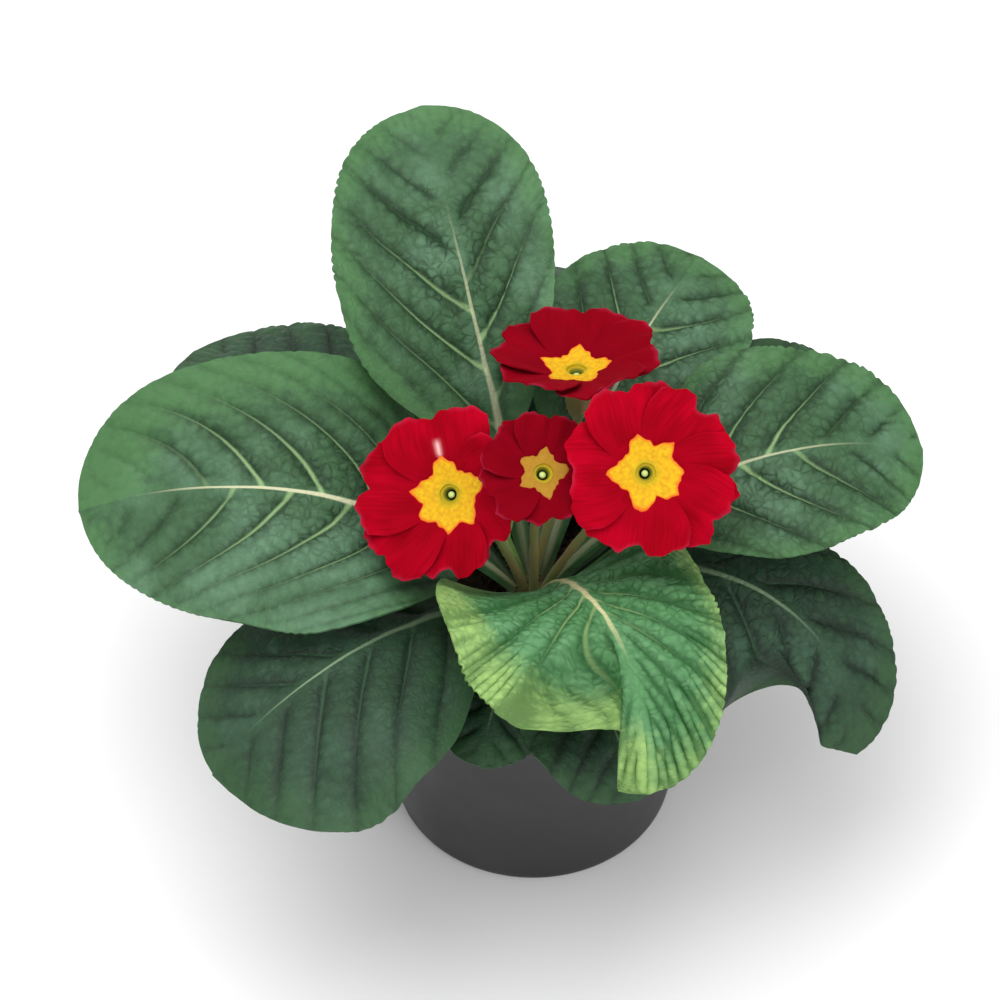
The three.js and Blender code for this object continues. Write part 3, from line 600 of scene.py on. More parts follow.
def compost_look(add):
    """Moist peat compost, loose: dark brown crumbs of 2 to 3 mm, with a few paler fibres."""
    spot = add("TexCoord", output="Object")
    crumbs = add("TexVoronoi", {"Vector": spot, "Scale": 420}, output="Color")
    fibre = add("TexNoise", {"Vector": spot, "Scale": 700, "Detail": 5})
    tint = add("SeparateColor", {0: crumbs})
    colour = add("Mix", {0: tint, 6: linear("#2A1B12"), 7: linear("#4B3424")}, **COLOUR)
    pale = add("MapRange", {0: fibre, 1: 0.62, 2: 0.75})
    colour = add("Mix", {0: pale, 6: colour, 7: linear("#7A5C3E")}, **COLOUR)
    normal = add("Bump", {"Strength": 0.8, "Distance": 0.0008, "Height": fibre})
    roughness = add("MapRange", {0: fibre, 1: 0.3, 2: 0.7, 3: 0.7, 4: 0.95})
    return {"Base Color": colour, "Normal": normal, "Roughness": roughness}


def pot_look(add):
    """Polypropylene, injection moulded: satin black with a faint orange-peel skin and dried splashes."""
    rare = dict(detail=6, low=0.5, high=0.8, most=0.35)
    spot, splashes, colour = mottled(add, "#141416", "#3A3733", 28, **rare)
    skin = add("TexNoise", {"Vector": spot, "Scale": 900, "Detail": 2})
    normal = add("Bump", {"Strength": 0.25, "Distance": 0.0001, "Height": skin})
    roughness = add("MapRange", {0: splashes, 1: 0.35, 2: 0.75, 3: 0.36, 4: 0.58})
    return {"Base Color": colour, "Normal": normal, "Roughness": roughness, "IOR": 1.49}


def floor_look(add):
    """Matt white board: plain, so that nothing draws the eye from the plant."""
    return {"Base Color": linear("#F2F2F2"), "Roughness": 0.9}


# ---- leaves


def half_width(leaf, along, hand):
    """From the midrib to the margin on one hand of it, 1 for the left one and -1 for the right one."""
    share = np.clip((along - leaf["stem"]) / (1 - leaf["stem"]), 0, 1)
    widest = leaf["widest"] + leaf["skew"] * hand
    half = leaf["width"] / 2 * (1 + leaf["uneven"] * hand)
    stoutness = mix(0.5, 1, ease(leaf["width"], 10, 70))
    stalk = mix(1.7, 3.4, np.minimum(1, along / leaf["stem"])) * stoutness
    widening = np.sin(np.pi / 2 * np.minimum(1, share / widest)) ** leaf["fill"]
    tip = np.maximum(0, (share - widest) / (1 - widest))
    return np.maximum(stalk, half * widening) * np.maximum(0, 1 - tip**2.2) ** leaf["point"]


def midrib_frames(leaf):
    """The midrib's place and its sideways and upward directions, from steps of its slope and heading."""
    steps = 60
    share = np.arange(steps + 1) / steps
    slope = np.radians(mix(leaf["rise"], leaf["fall"], share ** leaf["bend"]))
    heading = np.radians(leaf["heading"] + leaf["swing"] * share * share)
    level_part = np.cos(slope)
    along = np.stack([level_part * np.cos(heading), level_part * np.sin(heading), np.sin(slope)], axis=1)
    level = np.stack([-np.sin(heading), np.cos(heading), 0 * heading], axis=1)
    roll = (np.radians(leaf["roll"]) * ease(share, 0.15, 0.6))[:, None]
    side = level * np.cos(roll) + np.cross(along, level) * np.sin(roll)
    up = np.cross(along, side)
    radius, height = leaf["tier"]
    start = math.radians(leaf["heading"])
    foot = np.array([radius * math.cos(start), radius * math.sin(start), height])
    walked = np.vstack([np.zeros(3), np.cumsum(along[:-1] * leaf["length"] / steps, axis=0)])
    table = np.hstack([foot + walked, side, up])

    def frame_at(where):
        spread = np.stack([np.interp(where, share, column) for column in table.T], axis=1)
        return spread[:, :3], unit(spread[:, 3:6]), unit(spread[:, 6:])

    return frame_at


def margin_finder(leaf):
    """What finds, for places on the blade, how far around the margin they lie, in millimetres, and how near
    to it they are, from 0 in the blade's middle to 1 at the margin."""
    shares = np.linspace(1, leaf["stem"], 240)
    middle = mix(leaf["stem"], 1, leaf["widest"]) * leaf["length"]
    tables = []
    for hand in (1, -1):
        out, ahead = half_width(leaf, shares, hand), shares * leaf["length"] - middle
        walked = np.concatenate([[0], np.cumsum(np.hypot(np.diff(out), np.diff(ahead)))])
        tables.append((np.arctan2(out, ahead), walked, np.hypot(out, ahead)))

    def find(out, ahead):
        turn, distance = np.arctan2(np.abs(out), ahead - middle), np.hypot(out, ahead - middle)
        (walked, reach), (other_walked, other_reach) = (
            (np.interp(turn, turns, lengths), np.interp(turn, turns, reaches))
            for turns, lengths, reaches in tables
        )
        rim_at = np.where(out > 0, walked, -other_walked)
        return rim_at, distance / np.where(out > 0, reach, other_reach)

    return find


def leaf_relief(leaf, out, ahead, station, seed):
    """What a leaf's upper face is like at places that are millimetres out from the midrib and ahead from its
    foot: how far each stands above the middle face, its height between furrow (0) and top (1), its place
    among the side veins, of which each whole number is one, and how many millimetres lie between two."""
    reach, length = np.abs(out), leaf["length"]
    left = np.where(station > 0, 1.0, 0.0)
    side = np.minimum(np.abs(station), 1)
    wander = Noise(seed)

    # the side veins lean forward and spring in turn from the two sides, closer at the foot and the tip
    sprung = (ahead - leaf["lean"] * reach - leaf["curl"] * reach**2) / (1 + leaf["fan"] * reach)
    inner = np.clip(sprung / length, 0, 1)
    row = leaf["veins"] * (sprung / length + 0.3 * inner * (1 - inner) * (1 - 2 * inner))
    row += 0.012 * leaf["veins"] * wander(out / 20 + 9, ahead / 20) * ease(reach, 1, 9)
    strip = row - 0.5 * left
    from_vein = np.abs(strip - np.rint(strip))
    spring = leaf["lean"] + leaf["fan"] * np.clip(sprung, 0, length)
    slope = spring + 2 * leaf["curl"] * reach
    between = length / leaf["veins"] * (1 + leaf["fan"] * reach) / np.sqrt(1 + slope**2)
    to_vein = from_vein * between

    # between them lie puckers, wider across a strip than along it, and on those small blisters
    past = strip - np.floor(strip)
    across = past * between + 41 * np.floor(strip) + 700 * left
    onward = reach * np.sqrt(1 + (spring + leaf["curl"] * reach) ** 2) + past * slope * between
    _, gap = Cells(seed)(across / (1.5 * PUCKER_SIZE), onward / PUCKER_SIZE)
    pucker = 1 - np.exp(-(np.minimum(to_vein, gap * PUCKER_SIZE / 2) ** 2) / 1.2)
    _, gap = Cells(seed + 1)(out / BLISTER_SIZE, ahead / BLISTER_SIZE)
    blister = 1 - np.exp(-2.5 * gap**2)
    arch = np.sin(np.pi * from_vein)
    furrow = np.exp(-((to_vein / FURROW_WIDTH) ** 1.5))

    fade = ease(reach, 0.8, 4.0) * (1 - leaf["calm"] * ease(side, 0.3, 0.9) * ease(ahead / length, 0.1, 0.5))
    fade *= 1 - leaf["calm"] * ease(row / leaf["veins"], 0.65, 0.85)
    patchy = mix(0.3, 1.3, ease(wander(out / 16, ahead / 16 + 50), -0.5, 0.4))
    swell = ARCH_HEIGHT * (arch - 0.6) * (1 - 0.3 * side**4) - FURROW_DEPTH * furrow * (1 - 0.4 * side)
    swell *= np.minimum(1, between / 5)
    swell += leaf["quilt"] * (PUCKER_HEIGHT * (pucker - 0.6) * patchy + BLISTER_HEIGHT * (blister - 0.6))
    swell = swell * fade + BILLOW_HEIGHT * wander(out / BILLOW_SIZE + 80, ahead / BILLOW_SIZE)
    # this height is what the material paints as shade and light: painted shade toward the furrows and along
    # the side veins, painted light on the puckers
    height = mix(0.7, 0.45 * arch + 0.4 * pucker + 0.15 * blister, (0.2 + 0.8 * fade) * leaf["quilt"] ** 0.5)
    height = np.clip(height - 0.28 * furrow * fade, 0, 1)
    return swell, height, row, between


def leaf_margin(leaf, station, rim_at, near, blade, ripple):
    """How far the margin's uneven teeth stand out, and how deep the furrows are that run in from it."""
    hand = np.sign(station)
    tooth = np.abs(np.sin(np.pi * rim_at / TOOTH_PITCH + 2.5 * ripple(rim_at / 8, station))) ** 0.7 - 0.5
    tooth *= leaf["teeth"] * (1 + 0.9 * ripple(rim_at / 12 + 5, station)) * blade * np.abs(station) ** 12
    place = rim_at / CRIMP_PITCH + 0.8 * ripple(rim_at / 9 + 3, 2 * near)
    number = np.rint(place)
    furrow = np.exp(-(((place - number) / 0.22) ** 2)) * blade
    length_of_each = 0.18 * ripple(3.7 * number, hand) + 0.12 * leaf["crimp"]
    furrow *= ease(near + length_of_each, 0.72, 0.95) * (0.75 + 0.25 * ripple(5.3 * number, 2 * hand))
    return tooth, furrow


def fold_over(leaf, along, station, out):
    """Where places that are out from the midrib come to lie when the leaf is folded: how far across, how far
    down, and how far out on the skin itself."""
    past_fold = along - leaf["fold_at"] - FOLD_SLANT * np.abs(station)
    folded = (station * leaf["fold"] > 0) * ease(past_fold, -FOLD_RUN / 2, FOLD_RUN / 2)
    turn = np.radians(abs(leaf["fold"])) * folded
    fold_line = leaf["fold_line"] + leaf["fold_flare"] * ease(along, leaf["fold_at"], 1)
    beyond = np.maximum(0, np.abs(out) - fold_line * (leaf["width"] / 2))
    flap = beyond * mix(1, FLAP_SHARE, folded)
    across = out - np.sign(out) * (beyond - flap * np.cos(turn))
    return across, flap * np.sin(turn), out - np.sign(out) * (beyond - flap)


def leaf_surface(leaf, share, station, seed):
    """Points of a leaf's upper face, and what its material reads at each of them."""
    length, hand, side = leaf["length"], np.sign(station), np.abs(station)
    blade = ease(share, leaf["stem"] * 0.8, leaf["stem"] + 0.25)
    along = share + 0.36 * side**1.5 * (1 - share) * blade
    smooth_out = station * half_width(leaf, along, hand)
    rim_at, near = margin_finder(leaf)(smooth_out, along * length)
    ripple = Noise(seed + 2)
    tooth, crimp = leaf_margin(leaf, station, rim_at, near, blade, ripple)
    out = smooth_out + hand * tooth * ease(1 - share, 0, 0.05)
    swell, height, row, between = leaf_relief(leaf, out, along * length, station, seed)

    cup = leaf["cup"] + (leaf["lap"] + leaf["tilt"] * hand) * (1 - ease(along, 0.1, 0.6))
    phase = 2 * np.pi * leaf["waves"] * along + np.where(station > 0, 0.9, 3.4) + leaf["heading"]
    trough = MIDRIB_DEPTH * (1 - share) * bump(out, 0, 2.2)
    lift = (cup + leaf["wave"] * np.sin(phase)) * (out / (leaf["width"] / 2)) ** 2
    lift += 1.1 * (1 - blade) * side**2
    lift += (swell - trough) * ease(1 - share, 0, 0.1) * blade - leaf["crimp"] * crimp
    across, down, flat_out = fold_over(leaf, along, station, out)
    foot, side_way, up_way = midrib_frames(leaf)(along)

    sprung = row / leaf["veins"] - leaf["rib_end"] + 0.25
    rib_width = mix(1.9, 0.3, ease(along, 0, 0.75))
    rib_width *= mix(1, 0.3, ease(along, 0.75, 0.95)) * (0.5 if leaf["width"] < THIN_LEAF else 1)
    return {
        "points": foot + side_way * across[:, None] + up_way * (lift - down)[:, None],
        "out": out,
        "flat_mm": (flat_out, along * length),
        "veins": (row, out / rib_width),
        # relief also paints shade into the margin's crimp furrows
        "relief": np.clip(height - 0.7 * crimp * np.minimum(1, leaf["crimp"]), 0, 1),
        "edge": ease(near + leaf["bright"] * hand + 0.1 * ripple(out / 9, along * 9), 0.6, 1.05),
        "vein": blade * (1 - ease(side, 0.1, leaf["vein_reach"])) * (1 - ease(sprung, 0, 0.15)),
        "vein_scale": between / (SIDE_VEIN_WIDTH * mix(1, 0.4, ease(side, 0, 0.7))),
        "pale_rib": leaf["rib_pale"] * (1 - ease(along, leaf["rib_end"] - 0.2, leaf["rib_end"] + 0.05)),
        # painted light: one half of the blade paler, as if it caught more light
        "lit_half": 0.5 + 0.5 * leaf["lit_half"] * hand * ease(side, 0.1, 0.6),
        "creased": blade * leaf["quilt"] * (1 - leaf["calm"] * ease(near, 0.1, 0.7)) * (1.3 - along),
    }


def build_leaf(name, leaf, number):
    columns = 2 * round(leaf["width"] / LEAF_CELL / 2)
    rows = round(leaf["length"] / LEAF_CELL)
    blade, across, share = new_grid(f"blade_{name}", columns, rows)
    surface = leaf_surface(leaf, share, 2 * across - 1, 100 * number)
    shape(blade, surface["points"])
    out, ahead = surface["flat_mm"]
    add_map(blade, "flat_mm", out, ahead + 300 * number)
    add_map(blade, "veins", *surface["veins"])
    for value in LEAF_VALUES:
        add_value(blade, value, surface[value])
    rib_depth = mix(2.2, 0.2, np.minimum(1, share * 1.2)) * (0.5 if leaf["width"] < THIN_LEAF else 1)
    depth = BLADE_THICKNESS + rib_depth * bump(surface["out"], 0, 2.5)
    rib = blade.vertex_groups.new(name="rib")
    for corner, weight in enumerate(depth / depth.max()):
        rib.add((corner,), weight, "REPLACE")
    thicken(blade, depth.max(), "rib", lining=1)
    return blade


# ---- flowers


def put(sheet, flower):
    """Moves a mesh from its flower's own frame, in which +Z is the way it faces, to the plant's."""
    facing = Vector(flower["facing"]).normalized()
    level = (Vector((1, 0, 0)) - facing * facing.x).normalized()
    place = Matrix((level, facing.cross(level), facing)).transposed().to_4x4()
    place.translation = Vector(flower["centre"]) * MM
    sheet.data.transform(place)
    sheet.data.update()


def dish_height(radius, flower):
    share = radius / flower["radius"]
    return flower["radius"] * (0.16 * share - 0.1 * share**3 + flower["cup"] * share**1.7)


def eye_radius(flower, turn):
    """The edge of the star-shaped eye: a point on each petal, and small uneven teeth."""
    from_petals = np.array([np.sin((turn - math.radians(heading)) / 2) for heading, _, _ in flower["petals"]])
    point = np.maximum(0, 1 - np.abs(from_petals) / 0.27).max(axis=0)
    teeth = 0.012 * np.sin(11 * turn + flower["radius"]) + 0.01 * np.sin(19 * turn)
    return flower["radius"] * (0.31 + 0.15 * point + teeth)


def petal_surface(flower, petal, share, station):
    """Points of a petal's upper face, notched and frilled at its end and sunk a little under the eye."""
    heading, half, length = petal
    spread = np.sin(np.pi / 2 * np.minimum(1, share / 0.72)) ** 0.8
    notch = 0.1 * bump(station, 0, 0.22)
    shoulder = 0.2 * np.abs(station) ** 3
    frill = 0.022 * np.sin(9 * station + heading) + 0.012 * np.sin(21 * station + 2 * heading)
    reach = flower["radius"] * length * share * (1 - (notch + shoulder - frill) * share**2)
    out = station * flower["radius"] * half * spread
    radius, turn = np.hypot(reach, out), math.radians(heading) + np.arctan2(out, reach)
    apart = ease(radius, 0.38 * flower["radius"], 0.75 * flower["radius"])
    ruffle = 0.8 * share**3 * np.sin(4 * station + heading)
    crinkle = 0.35 * share**3 * np.sin(11 * station + 4 * share + heading)
    furrow = -0.5 * bump(station, 0, 0.1) * ease(share, 0.35, 0.8)
    below_eye = 0.6 * (1 - ease(radius / eye_radius(flower, turn), 0.92, 1.08))
    height = dish_height(radius, flower) + 1.15 * station * apart + ruffle + crinkle + furrow - below_eye
    return around(radius, turn, height)


def build_petals(name, flower):
    petals = []
    for number, petal in enumerate(flower["petals"]):
        sheet, across, along = new_grid(f"petal_{name}_{number}", 40, 32)
        station = 2 * across - 1
        share = mix(0.16, 1.0, along)
        shape(sheet, petal_surface(flower, petal, share, station))
        add_map(sheet, "petal", station + 3 * number, share)
        # painted sheen: a paler pink rim at the petal's end and flanks, in patches
        flank = 0.4 * ease(np.abs(station), 0.93, 1.0) * ease(share, 0.55, 0.8)
        patchy = 0.24 * ease(np.sin(5 * station + 2 * petal[0]), -0.6, 1)
        add_value(sheet, "rim", patchy * np.clip(ease(share, 0.93, 1.0) + flank, 0, 1))
        has_fleck = (name, number) == FLECKED_PETAL
        lens = ease(share, 0.44, 0.5) * (1 - ease(share, 0.6, 0.72)) * bump(station, 0, 0.05)
        add_value(sheet, "fleck", has_fleck * lens)
        # painted shade: the whole corolla of a flower that lies in shade is darker
        add_value(sheet, "painted_shade", np.full_like(share, flower["painted_shade"]))
        thicken(sheet, PETAL_THICKNESS)
        petals.append(sheet)
    whole = joined(f"corolla_{name}", *petals)
    put(whole, flower)
    return whole


def build_eye(name, flower):
    """The yellow star, which follows the petals' dish, and the tube under it with its bore."""
    rings = 26
    bore = [(0, -6), (0.7, -6), (1.3, -5.6), (1.35, -3), (1.4, -1), (1.65, 0.05), (2.0, 0.42), (2.5, 0.38)]
    under = [(2.6, -0.5), *((TUBE_RADIUS, z) for z in (-1.5, -8, -TUBE_LENGTH)), (0, -TUBE_LENGTH)]
    profile = np.array(bore + [(0, 0)] * rings + under, dtype=float)
    sheet, row, turn = new_tube(f"star_{name}", 120, len(profile) - 1)
    first = len(bore)
    on_face = (row >= first) & (row < first + rings)
    share = np.clip((row - first + 1) / rings, 0, 1)
    face_radius = mix(2.5, eye_radius(flower, turn), share)
    raised = 0.02 + 0.38 * (1 - share) ** 3 + 0.15 * (1 - ease(share, 0.9, 1.0))
    radius = np.where(on_face, face_radius, profile[row, 0])
    height = np.where(on_face, dish_height(face_radius, flower) + raised, profile[row, 1])
    shape(sheet, around(radius, turn, height))
    add_value(sheet, "out", np.where(on_face, share, 0))
    # painted shade: the eye of a flower that lies in shade is browner
    add_value(sheet, "painted_eye_shade", np.where(on_face, flower["painted_eye_shade"], 0))
    # how deep down the bore, which the eye's colour darkens with painted shade
    add_value(sheet, "bore", np.where(row < first, 1 - row / first, 0))
    weld(sheet)
    smooth(sheet, 50)
    put(sheet, flower)
    return sheet


def build_pistil(name, flower):
    style = [(0, -5.7), (0.42, -5.6), (0.4, -2), (0.55, -1.5)]
    stigma = [(0.85, -1.2), (0.95, -0.85), (0.85, -0.5), (0.5, -0.28), (0, -0.22)]
    sheet = wrapped(f"stigma_{name}", style + stigma, 16)
    smooth(sheet, 60)
    put(sheet, flower)
    return sheet


def model_of(item):
    """The corners and faces of a small model, which is then put away."""
    corners = np.array([v.co[:] for v in item.data.vertices])
    faces = [tuple(p.vertices) for p in item.data.polygons]
    bpy.data.objects.remove(item)
    return corners, faces


def copies(name, models, places):
    """One mesh of many copies of small models, from the model's number, its turn and size as a 3x3 matrix,
    and its spot in millimetres."""
    corners, faces, first = [], [], 0
    for number, turn, spot in places:
        model_corners, model_faces = models[number]
        corners.append(model_corners @ turn.T + spot)
        faces += [tuple(v + first for v in face) for face in model_faces]
        first += len(model_corners)
    mesh = bpy.data.meshes.new(name)
    mesh.from_pydata((np.vstack(corners) * MM).tolist(), [], faces)
    item = bpy.data.objects.new(name, mesh)
    bpy.context.collection.objects.link(item)
    return item


def down_on(points, normals, length, spread, rng):
    """Fine hairs, three-sided spikes of the given length, standing on points."""
    hair = added(bpy.ops.mesh.primitive_cone_add, vertices=3, radius1=0.05, radius2=0, depth=1)
    edit(hair, lambda: bpy.ops.transform.translate(value=(0, 0, 0.4)))
    places = []
    for point, normal in zip(points, normals):
        way = (normal + spread * rng.normal(size=3)) * length * rng.uniform(0.6, 1.2)
        side = np.cross(way, rng.normal(size=3))
        side /= np.linalg.norm(side)
        other = np.cross(way, side) / np.linalg.norm(way)
        places.append((0, np.stack([side, other, way], axis=1), point))
    return copies("down", [model_of(hair)], places)


def stalk_route(flower):
    """The four points that guide the stalk's curve, from the crown up to the foot of the calyx cup."""
    centre = np.array(flower["centre"], dtype=float)
    facing = np.array(flower["facing"]) / np.linalg.norm(flower["facing"])
    cup_foot = centre - facing * (TUBE_LENGTH + 2)
    foot = np.array([*flower["foot"], CROWN_TOP - 3], dtype=float)
    above = foot + (centre - foot) * 0.15
    above[2] = CROWN_TOP + 13
    return foot, above, cup_foot - facing * 7, cup_foot


def build_stem(name, flower, rng):
    foot, above, below, top = stalk_route(flower)
    steps = 48
    stem, row, turn = new_tube(f"stalk_{name}", 14, steps + 2)
    share = np.clip(row - 1, 0, steps) / steps
    t = share[:, None]
    rest = 1 - t
    centre = foot * rest**3 + 3 * above * t * rest**2 + 3 * below * t**2 * rest + top * t**3
    way = unit(3 * (above - foot) * rest**2 + 6 * (below - above) * t * rest + 3 * (top - below) * t**2)
    first = unit(np.cross(way, np.array([0.0, 1.0, 0.0])))
    out = first * np.cos(turn)[:, None] + np.cross(way, first) * np.sin(turn)[:, None]
    uneven = 0.1 * bump(share, 0, 0.15) + 0.05 * np.sin(40 * share) + 0.05 * np.cos(3 * turn)
    radius = np.where((row == 0) | (row == steps + 2), 0, STALK_RADIUS * (1 + uneven))
    points = centre + out * radius[:, None]
    shape(stem, points)
    weld(stem)
    smooth(stem, 70)
    picks = rng.choice(np.nonzero(share > 0.12)[0], STALK_HAIRS)
    return stem, down_on(points[picks], out[picks], 0.9, 0.35, rng)


def build_calyx(name, flower, rng):
    """The ribbed cup round the flower's tube, with a sharp tooth on each rib and down outside."""
    foot = [(0, 3), (0.9, 2.9), (STALK_RADIUS + 0.6, 2.4), (CALYX_RADIUS - 0.7, 0.8)]
    foot += [(CALYX_RADIUS - 0.2, -1)]
    profile = [(radius, -TUBE_LENGTH - below) for radius, below in foot]
    wall = ((0, -8), (0.1, -5.6), (0.2, -4.6), (0.3, -3.4), (-0.1, -3.5), (-0.2, -5), (-0.5, -7))
    profile += [(CALYX_RADIUS + further, height) for further, height in wall]
    profile += [(TUBE_RADIUS + 0.3, -9), (0, -TUBE_LENGTH - 0.3)]

    def ribbed(radius, height, turn):
        sharp = np.abs(np.cos(2.5 * turn)) ** 3
        on_wall = ease(height, -TUBE_LENGTH - 2.5, -TUBE_LENGTH)
        near_mouth = ease(height, -6.5, -3.4)
        return radius * (1 + 0.07 * (2 * sharp - 0.8) * on_wall), height + (3.2 * sharp - 1.6) * near_mouth

    calyx = wrapped(f"calyx_{name}", profile, 80, ribbed)
    smooth(calyx, 60)
    spots = np.array([v.co[:] for v in calyx.data.vertices]) / MM
    ways = np.array([v.normal[:] for v in calyx.data.vertices])
    outer = np.nonzero((np.hypot(spots[:, 0], spots[:, 1]) > CALYX_RADIUS - 0.6) & (spots[:, 2] < -3.6))[0]
    picks = rng.choice(outer, CALYX_HAIRS)
    cup = joined(f"calyx_{name}", calyx, down_on(spots[picks], ways[picks], 0.6, 0.3, rng))
    put(cup, flower)
    return cup


def build_stalk(name, flower, seed):
    rng = np.random.default_rng(seed)
    return joined(f"stem_{name}", *build_stem(name, flower, rng), build_calyx(name, flower, rng))


# ---- pot and compost


def wall_radius(height):
    return mix(POT_BASE_RADIUS, WALL_TOP_RADIUS, height / RIM_UNDERSIDE)


def rounded(corners, radius, steps):
    """A profile with each inner corner rounded off."""
    points = [corners[0]]
    for before, here, after in zip(corners, corners[1:], corners[2:]):
        here = np.array(here, dtype=float)
        ways = np.array((before, after)) - here
        cut = min(radius, *(0.45 * np.linalg.norm(way) for way in ways))
        start, end = here + unit(ways) * cut
        for t in np.arange(steps + 1) / steps:
            points.append(tuple(start * (1 - t) ** 2 + 2 * here * t * (1 - t) + end * t**2))
    return points + [corners[-1]]


def build_pot():
    under = [(0, 0), (RING_INNER - 1, 0), (RING_INNER + 1, RING_HEIGHT), (RING_OUTER - 1, RING_HEIGHT)]
    under += [(RING_OUTER + 1, 0), (POT_BASE_RADIUS - 0.2, 0)]
    outside = [(wall_radius(2), 2), (WALL_TOP_RADIUS, RIM_UNDERSIDE + 1.5)]
    outside += [(POT_RIM_RADIUS - POT_WALL, RIM_UNDERSIDE + 1.5), (POT_RIM_RADIUS - POT_WALL, RIM_UNDERSIDE)]
    outside += [(POT_RIM_RADIUS, RIM_UNDERSIDE), (POT_RIM_RADIUS, POT_HEIGHT)]
    inside = [(POT_RIM_RADIUS - 3.0, POT_HEIGHT), (WALL_TOP_RADIUS - POT_WALL, RIM_UNDERSIDE)]
    inside += [(wall_radius(POT_WALL) - POT_WALL, POT_WALL), (RING_OUTER + 2, POT_WALL)]
    inside += [(RING_OUTER, RING_HEIGHT + POT_WALL), (RING_INNER, RING_HEIGHT + POT_WALL)]
    inside += [(RING_INNER - 2, POT_WALL), (0, POT_WALL)]
    pot = wrapped("nursery_pot", rounded(under + outside + inside, 0.7, 3), 128)

    drills = []
    for i in range(HOLE_COUNT):
        turn = 2 * math.pi * i / HOLE_COUNT
        spot = Vector((HOLE_CIRCLE * math.cos(turn), HOLE_CIRCLE * math.sin(turn), RING_HEIGHT)) * MM
        size = dict(vertices=32, radius=HOLE_RADIUS * MM, depth=14 * MM)
        drills.append(added(bpy.ops.mesh.primitive_cylinder_add, location=spot, **size))
    drill = joined("drills", *drills)
    select_only(drill)
    bpy.ops.object.transform_apply(location=True, rotation=True, scale=True)
    cut = pot.modifiers.new("drain_holes", "BOOLEAN")
    cut.operation = "DIFFERENCE"
    cut.object = drill
    apply_modifiers(pot)
    bpy.data.objects.remove(drill)
    smooth(pot, 35)
    return pot


def dome(radius):
    """How far the compost's top rises above its edge."""
    return COMPOST_DOME * np.cos(np.pi / 2 * np.minimum(1, radius / COMPOST_RADIUS))


def build_compost():
    rng = np.random.default_rng(7)
    shoulder = (wall_radius(COMPOST_TOP - 2) - POT_WALL - 0.5, COMPOST_TOP - 2)
    profile = [(0, 4.0), (RING_OUTER, 4.9), (RING_OUTER + 3, 3.0), shoulder]
    profile += [(radius, COMPOST_TOP) for radius in np.linspace(COMPOST_RADIUS, 0, COMPOST_RADIUS + 1)]
    cells = Cells(900)

    def lumps(radius, height, turn):
        x, y = radius * np.cos(turn), radius * np.sin(turn)
        middle, _ = cells(x / 4 + 20, y / 4 + 20)
        small, _ = cells(x / 1.7 + 20, y / 1.7 + 20)
        rise = dome(radius) + 0.8 * (0.6 - middle) + 0.5 * (0.6 - small)
        return radius, np.where(height >= COMPOST_TOP, height + rise, height)

    plug = wrapped("peat_plug", profile, 144, lumps)
    smooth(plug, 50)
    crumbs = []
    for _ in range(4):
        corners, faces = model_of(added(bpy.ops.mesh.primitive_ico_sphere_add, subdivisions=2, radius=1))
        uneven = 1 + 0.3 * rng.normal(size=(len(corners), 1))
        crumbs.append((corners * uneven * np.array([1, 0.8, 0.65]), faces))
    places = []
    for number in range(CRUMB_COUNT):
        radius, turn = COMPOST_RADIUS * math.sqrt(rng.uniform(0.03, 0.97)), rng.uniform(0, 2 * math.pi)
        size = rng.uniform(0.4, 1.5) ** 1.3
        spin = Matrix.Rotation(rng.uniform(0, 2 * math.pi), 3, Vector(rng.normal(size=3)).normalized())
        spot = np.array([radius * math.cos(turn), radius * math.sin(turn), COMPOST_TOP + dome(radius) + 0.2])
        places.append((number % 4, np.array(spin) * size, spot))
    return joined("peat_compost", plug, copies("crumbs", crumbs, places))


# ---- the whole plant

leaf_skins = {tone: new_material(f"primrose_leaf_{tone}", leaf_look, tone) for tone in LEAF_COLOURS}
underside = new_material("primrose_leaf_underside", leaf_underside_look)
petal_skin = new_material("velvety_red_petal", petal_look)
eye_skin = new_material("yellow_primrose_eye", eye_look)
pistil_skin = new_material("moist_green_stigma", pistil_look)
stalk_skin = new_material("downy_green_stalk", stalk_look)

for number, (name, own) in enumerate(LEAVES.items()):
    leaf = {**PLAIN_LEAF, **own, "tier": TIERS[name.split("_")[0]]}
    slot = "young_leaf" if leaf["tone"] == "young" else "leaf"
    finish_piece(build_leaf(name, leaf, number), f"leaf_{name}", slot, leaf_skins[leaf["tone"]], underside)

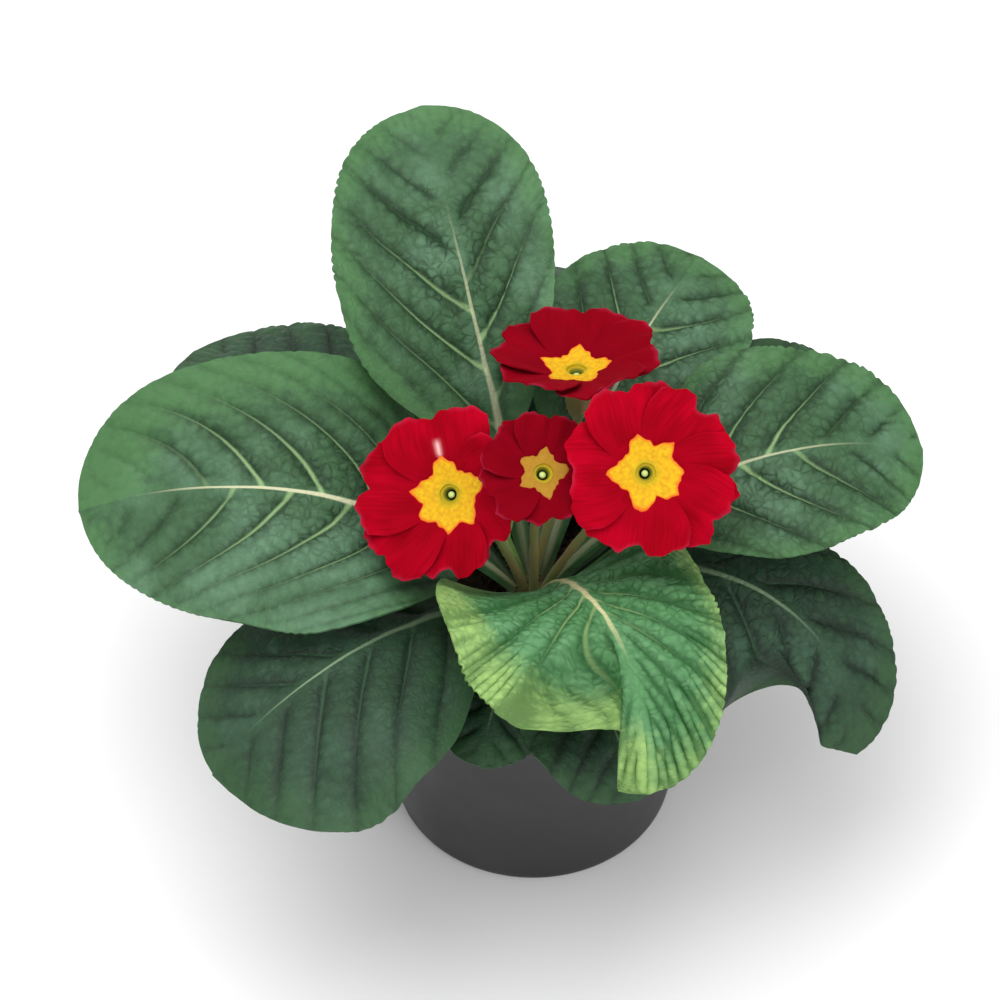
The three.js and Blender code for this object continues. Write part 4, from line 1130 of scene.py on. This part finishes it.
for number, (name, flower) in enumerate(FLOWERS.items()):
    finish_piece(build_petals(name, flower), f"flower_{name}_petals", "petals", petal_skin)
    finish_piece(build_eye(name, flower), f"flower_{name}_eye", "eye", eye_skin)
    finish_piece(build_pistil(name, flower), f"flower_{name}_pistil", "pistil", pistil_skin)
    finish_piece(build_stalk(name, flower, 300 + number), f"flower_{name}_stalk", "stalk", stalk_skin)

finish_piece(build_pot(), "pot", "pot", new_material("black_moulded_polypropylene", pot_look))
finish_piece(build_compost(), "compost", "compost", new_material("moist_peat_compost", compost_look))
cover(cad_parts["rootstock"], new_material("fibrous_rootstock", rootstock_look))

# ---- floor, light and camera

floor = added(bpy.ops.mesh.primitive_plane_add, size=6, location=(0, 0, -0.0002))
floor.name = "floor"
cover(floor, new_material("matt_white_board", floor_look))


def add_softbox(name, place, size, power):
    lamp = added(bpy.ops.object.light_add, type="AREA", location=place)
    lamp.name = name
    lamp.data.shape = "DISK"
    lamp.data.size = size
    lamp.data.energy = power
    aim = Vector((0, 0, 0.08)) - Vector(place)
    lamp.rotation_euler = aim.to_track_quat("-Z", "Y").to_euler()


add_softbox("softbox_overhead", (-0.25, 0.1, 1.35), 1.5, 15.5)
add_softbox("softbox_front_right", (0.8, -1.0, 0.9), 1.2, 6)

sky = bpy.data.worlds.new("studio")
sky.use_nodes = True
sky.node_tree.nodes["Background"].inputs["Color"].default_value = linear("#FFFFFF")
sky.node_tree.nodes["Background"].inputs["Strength"].default_value = 0.75
bpy.context.scene.world = sky
bpy.context.scene.view_settings.view_transform = "Standard"

CAMERA_ELEVATION = math.radians(50)
CAMERA_DISTANCE = 2.2
CAMERA_TARGET = Vector((-0.009, 0, 0.1155))
towards_camera = Vector((0, -math.cos(CAMERA_ELEVATION), math.sin(CAMERA_ELEVATION)))
camera = added(
    bpy.ops.object.camera_add,
    location=CAMERA_TARGET + CAMERA_DISTANCE * towards_camera,
    rotation=(math.pi / 2 - CAMERA_ELEVATION, 0, 0),
)
camera.name = "camera"
camera.data.lens = 300
camera.data.sensor_width = 36
camera.data.clip_start = 0.05
bpy.context.scene.camera = camera
bpy.ops.object.select_all(action="DESELECT")
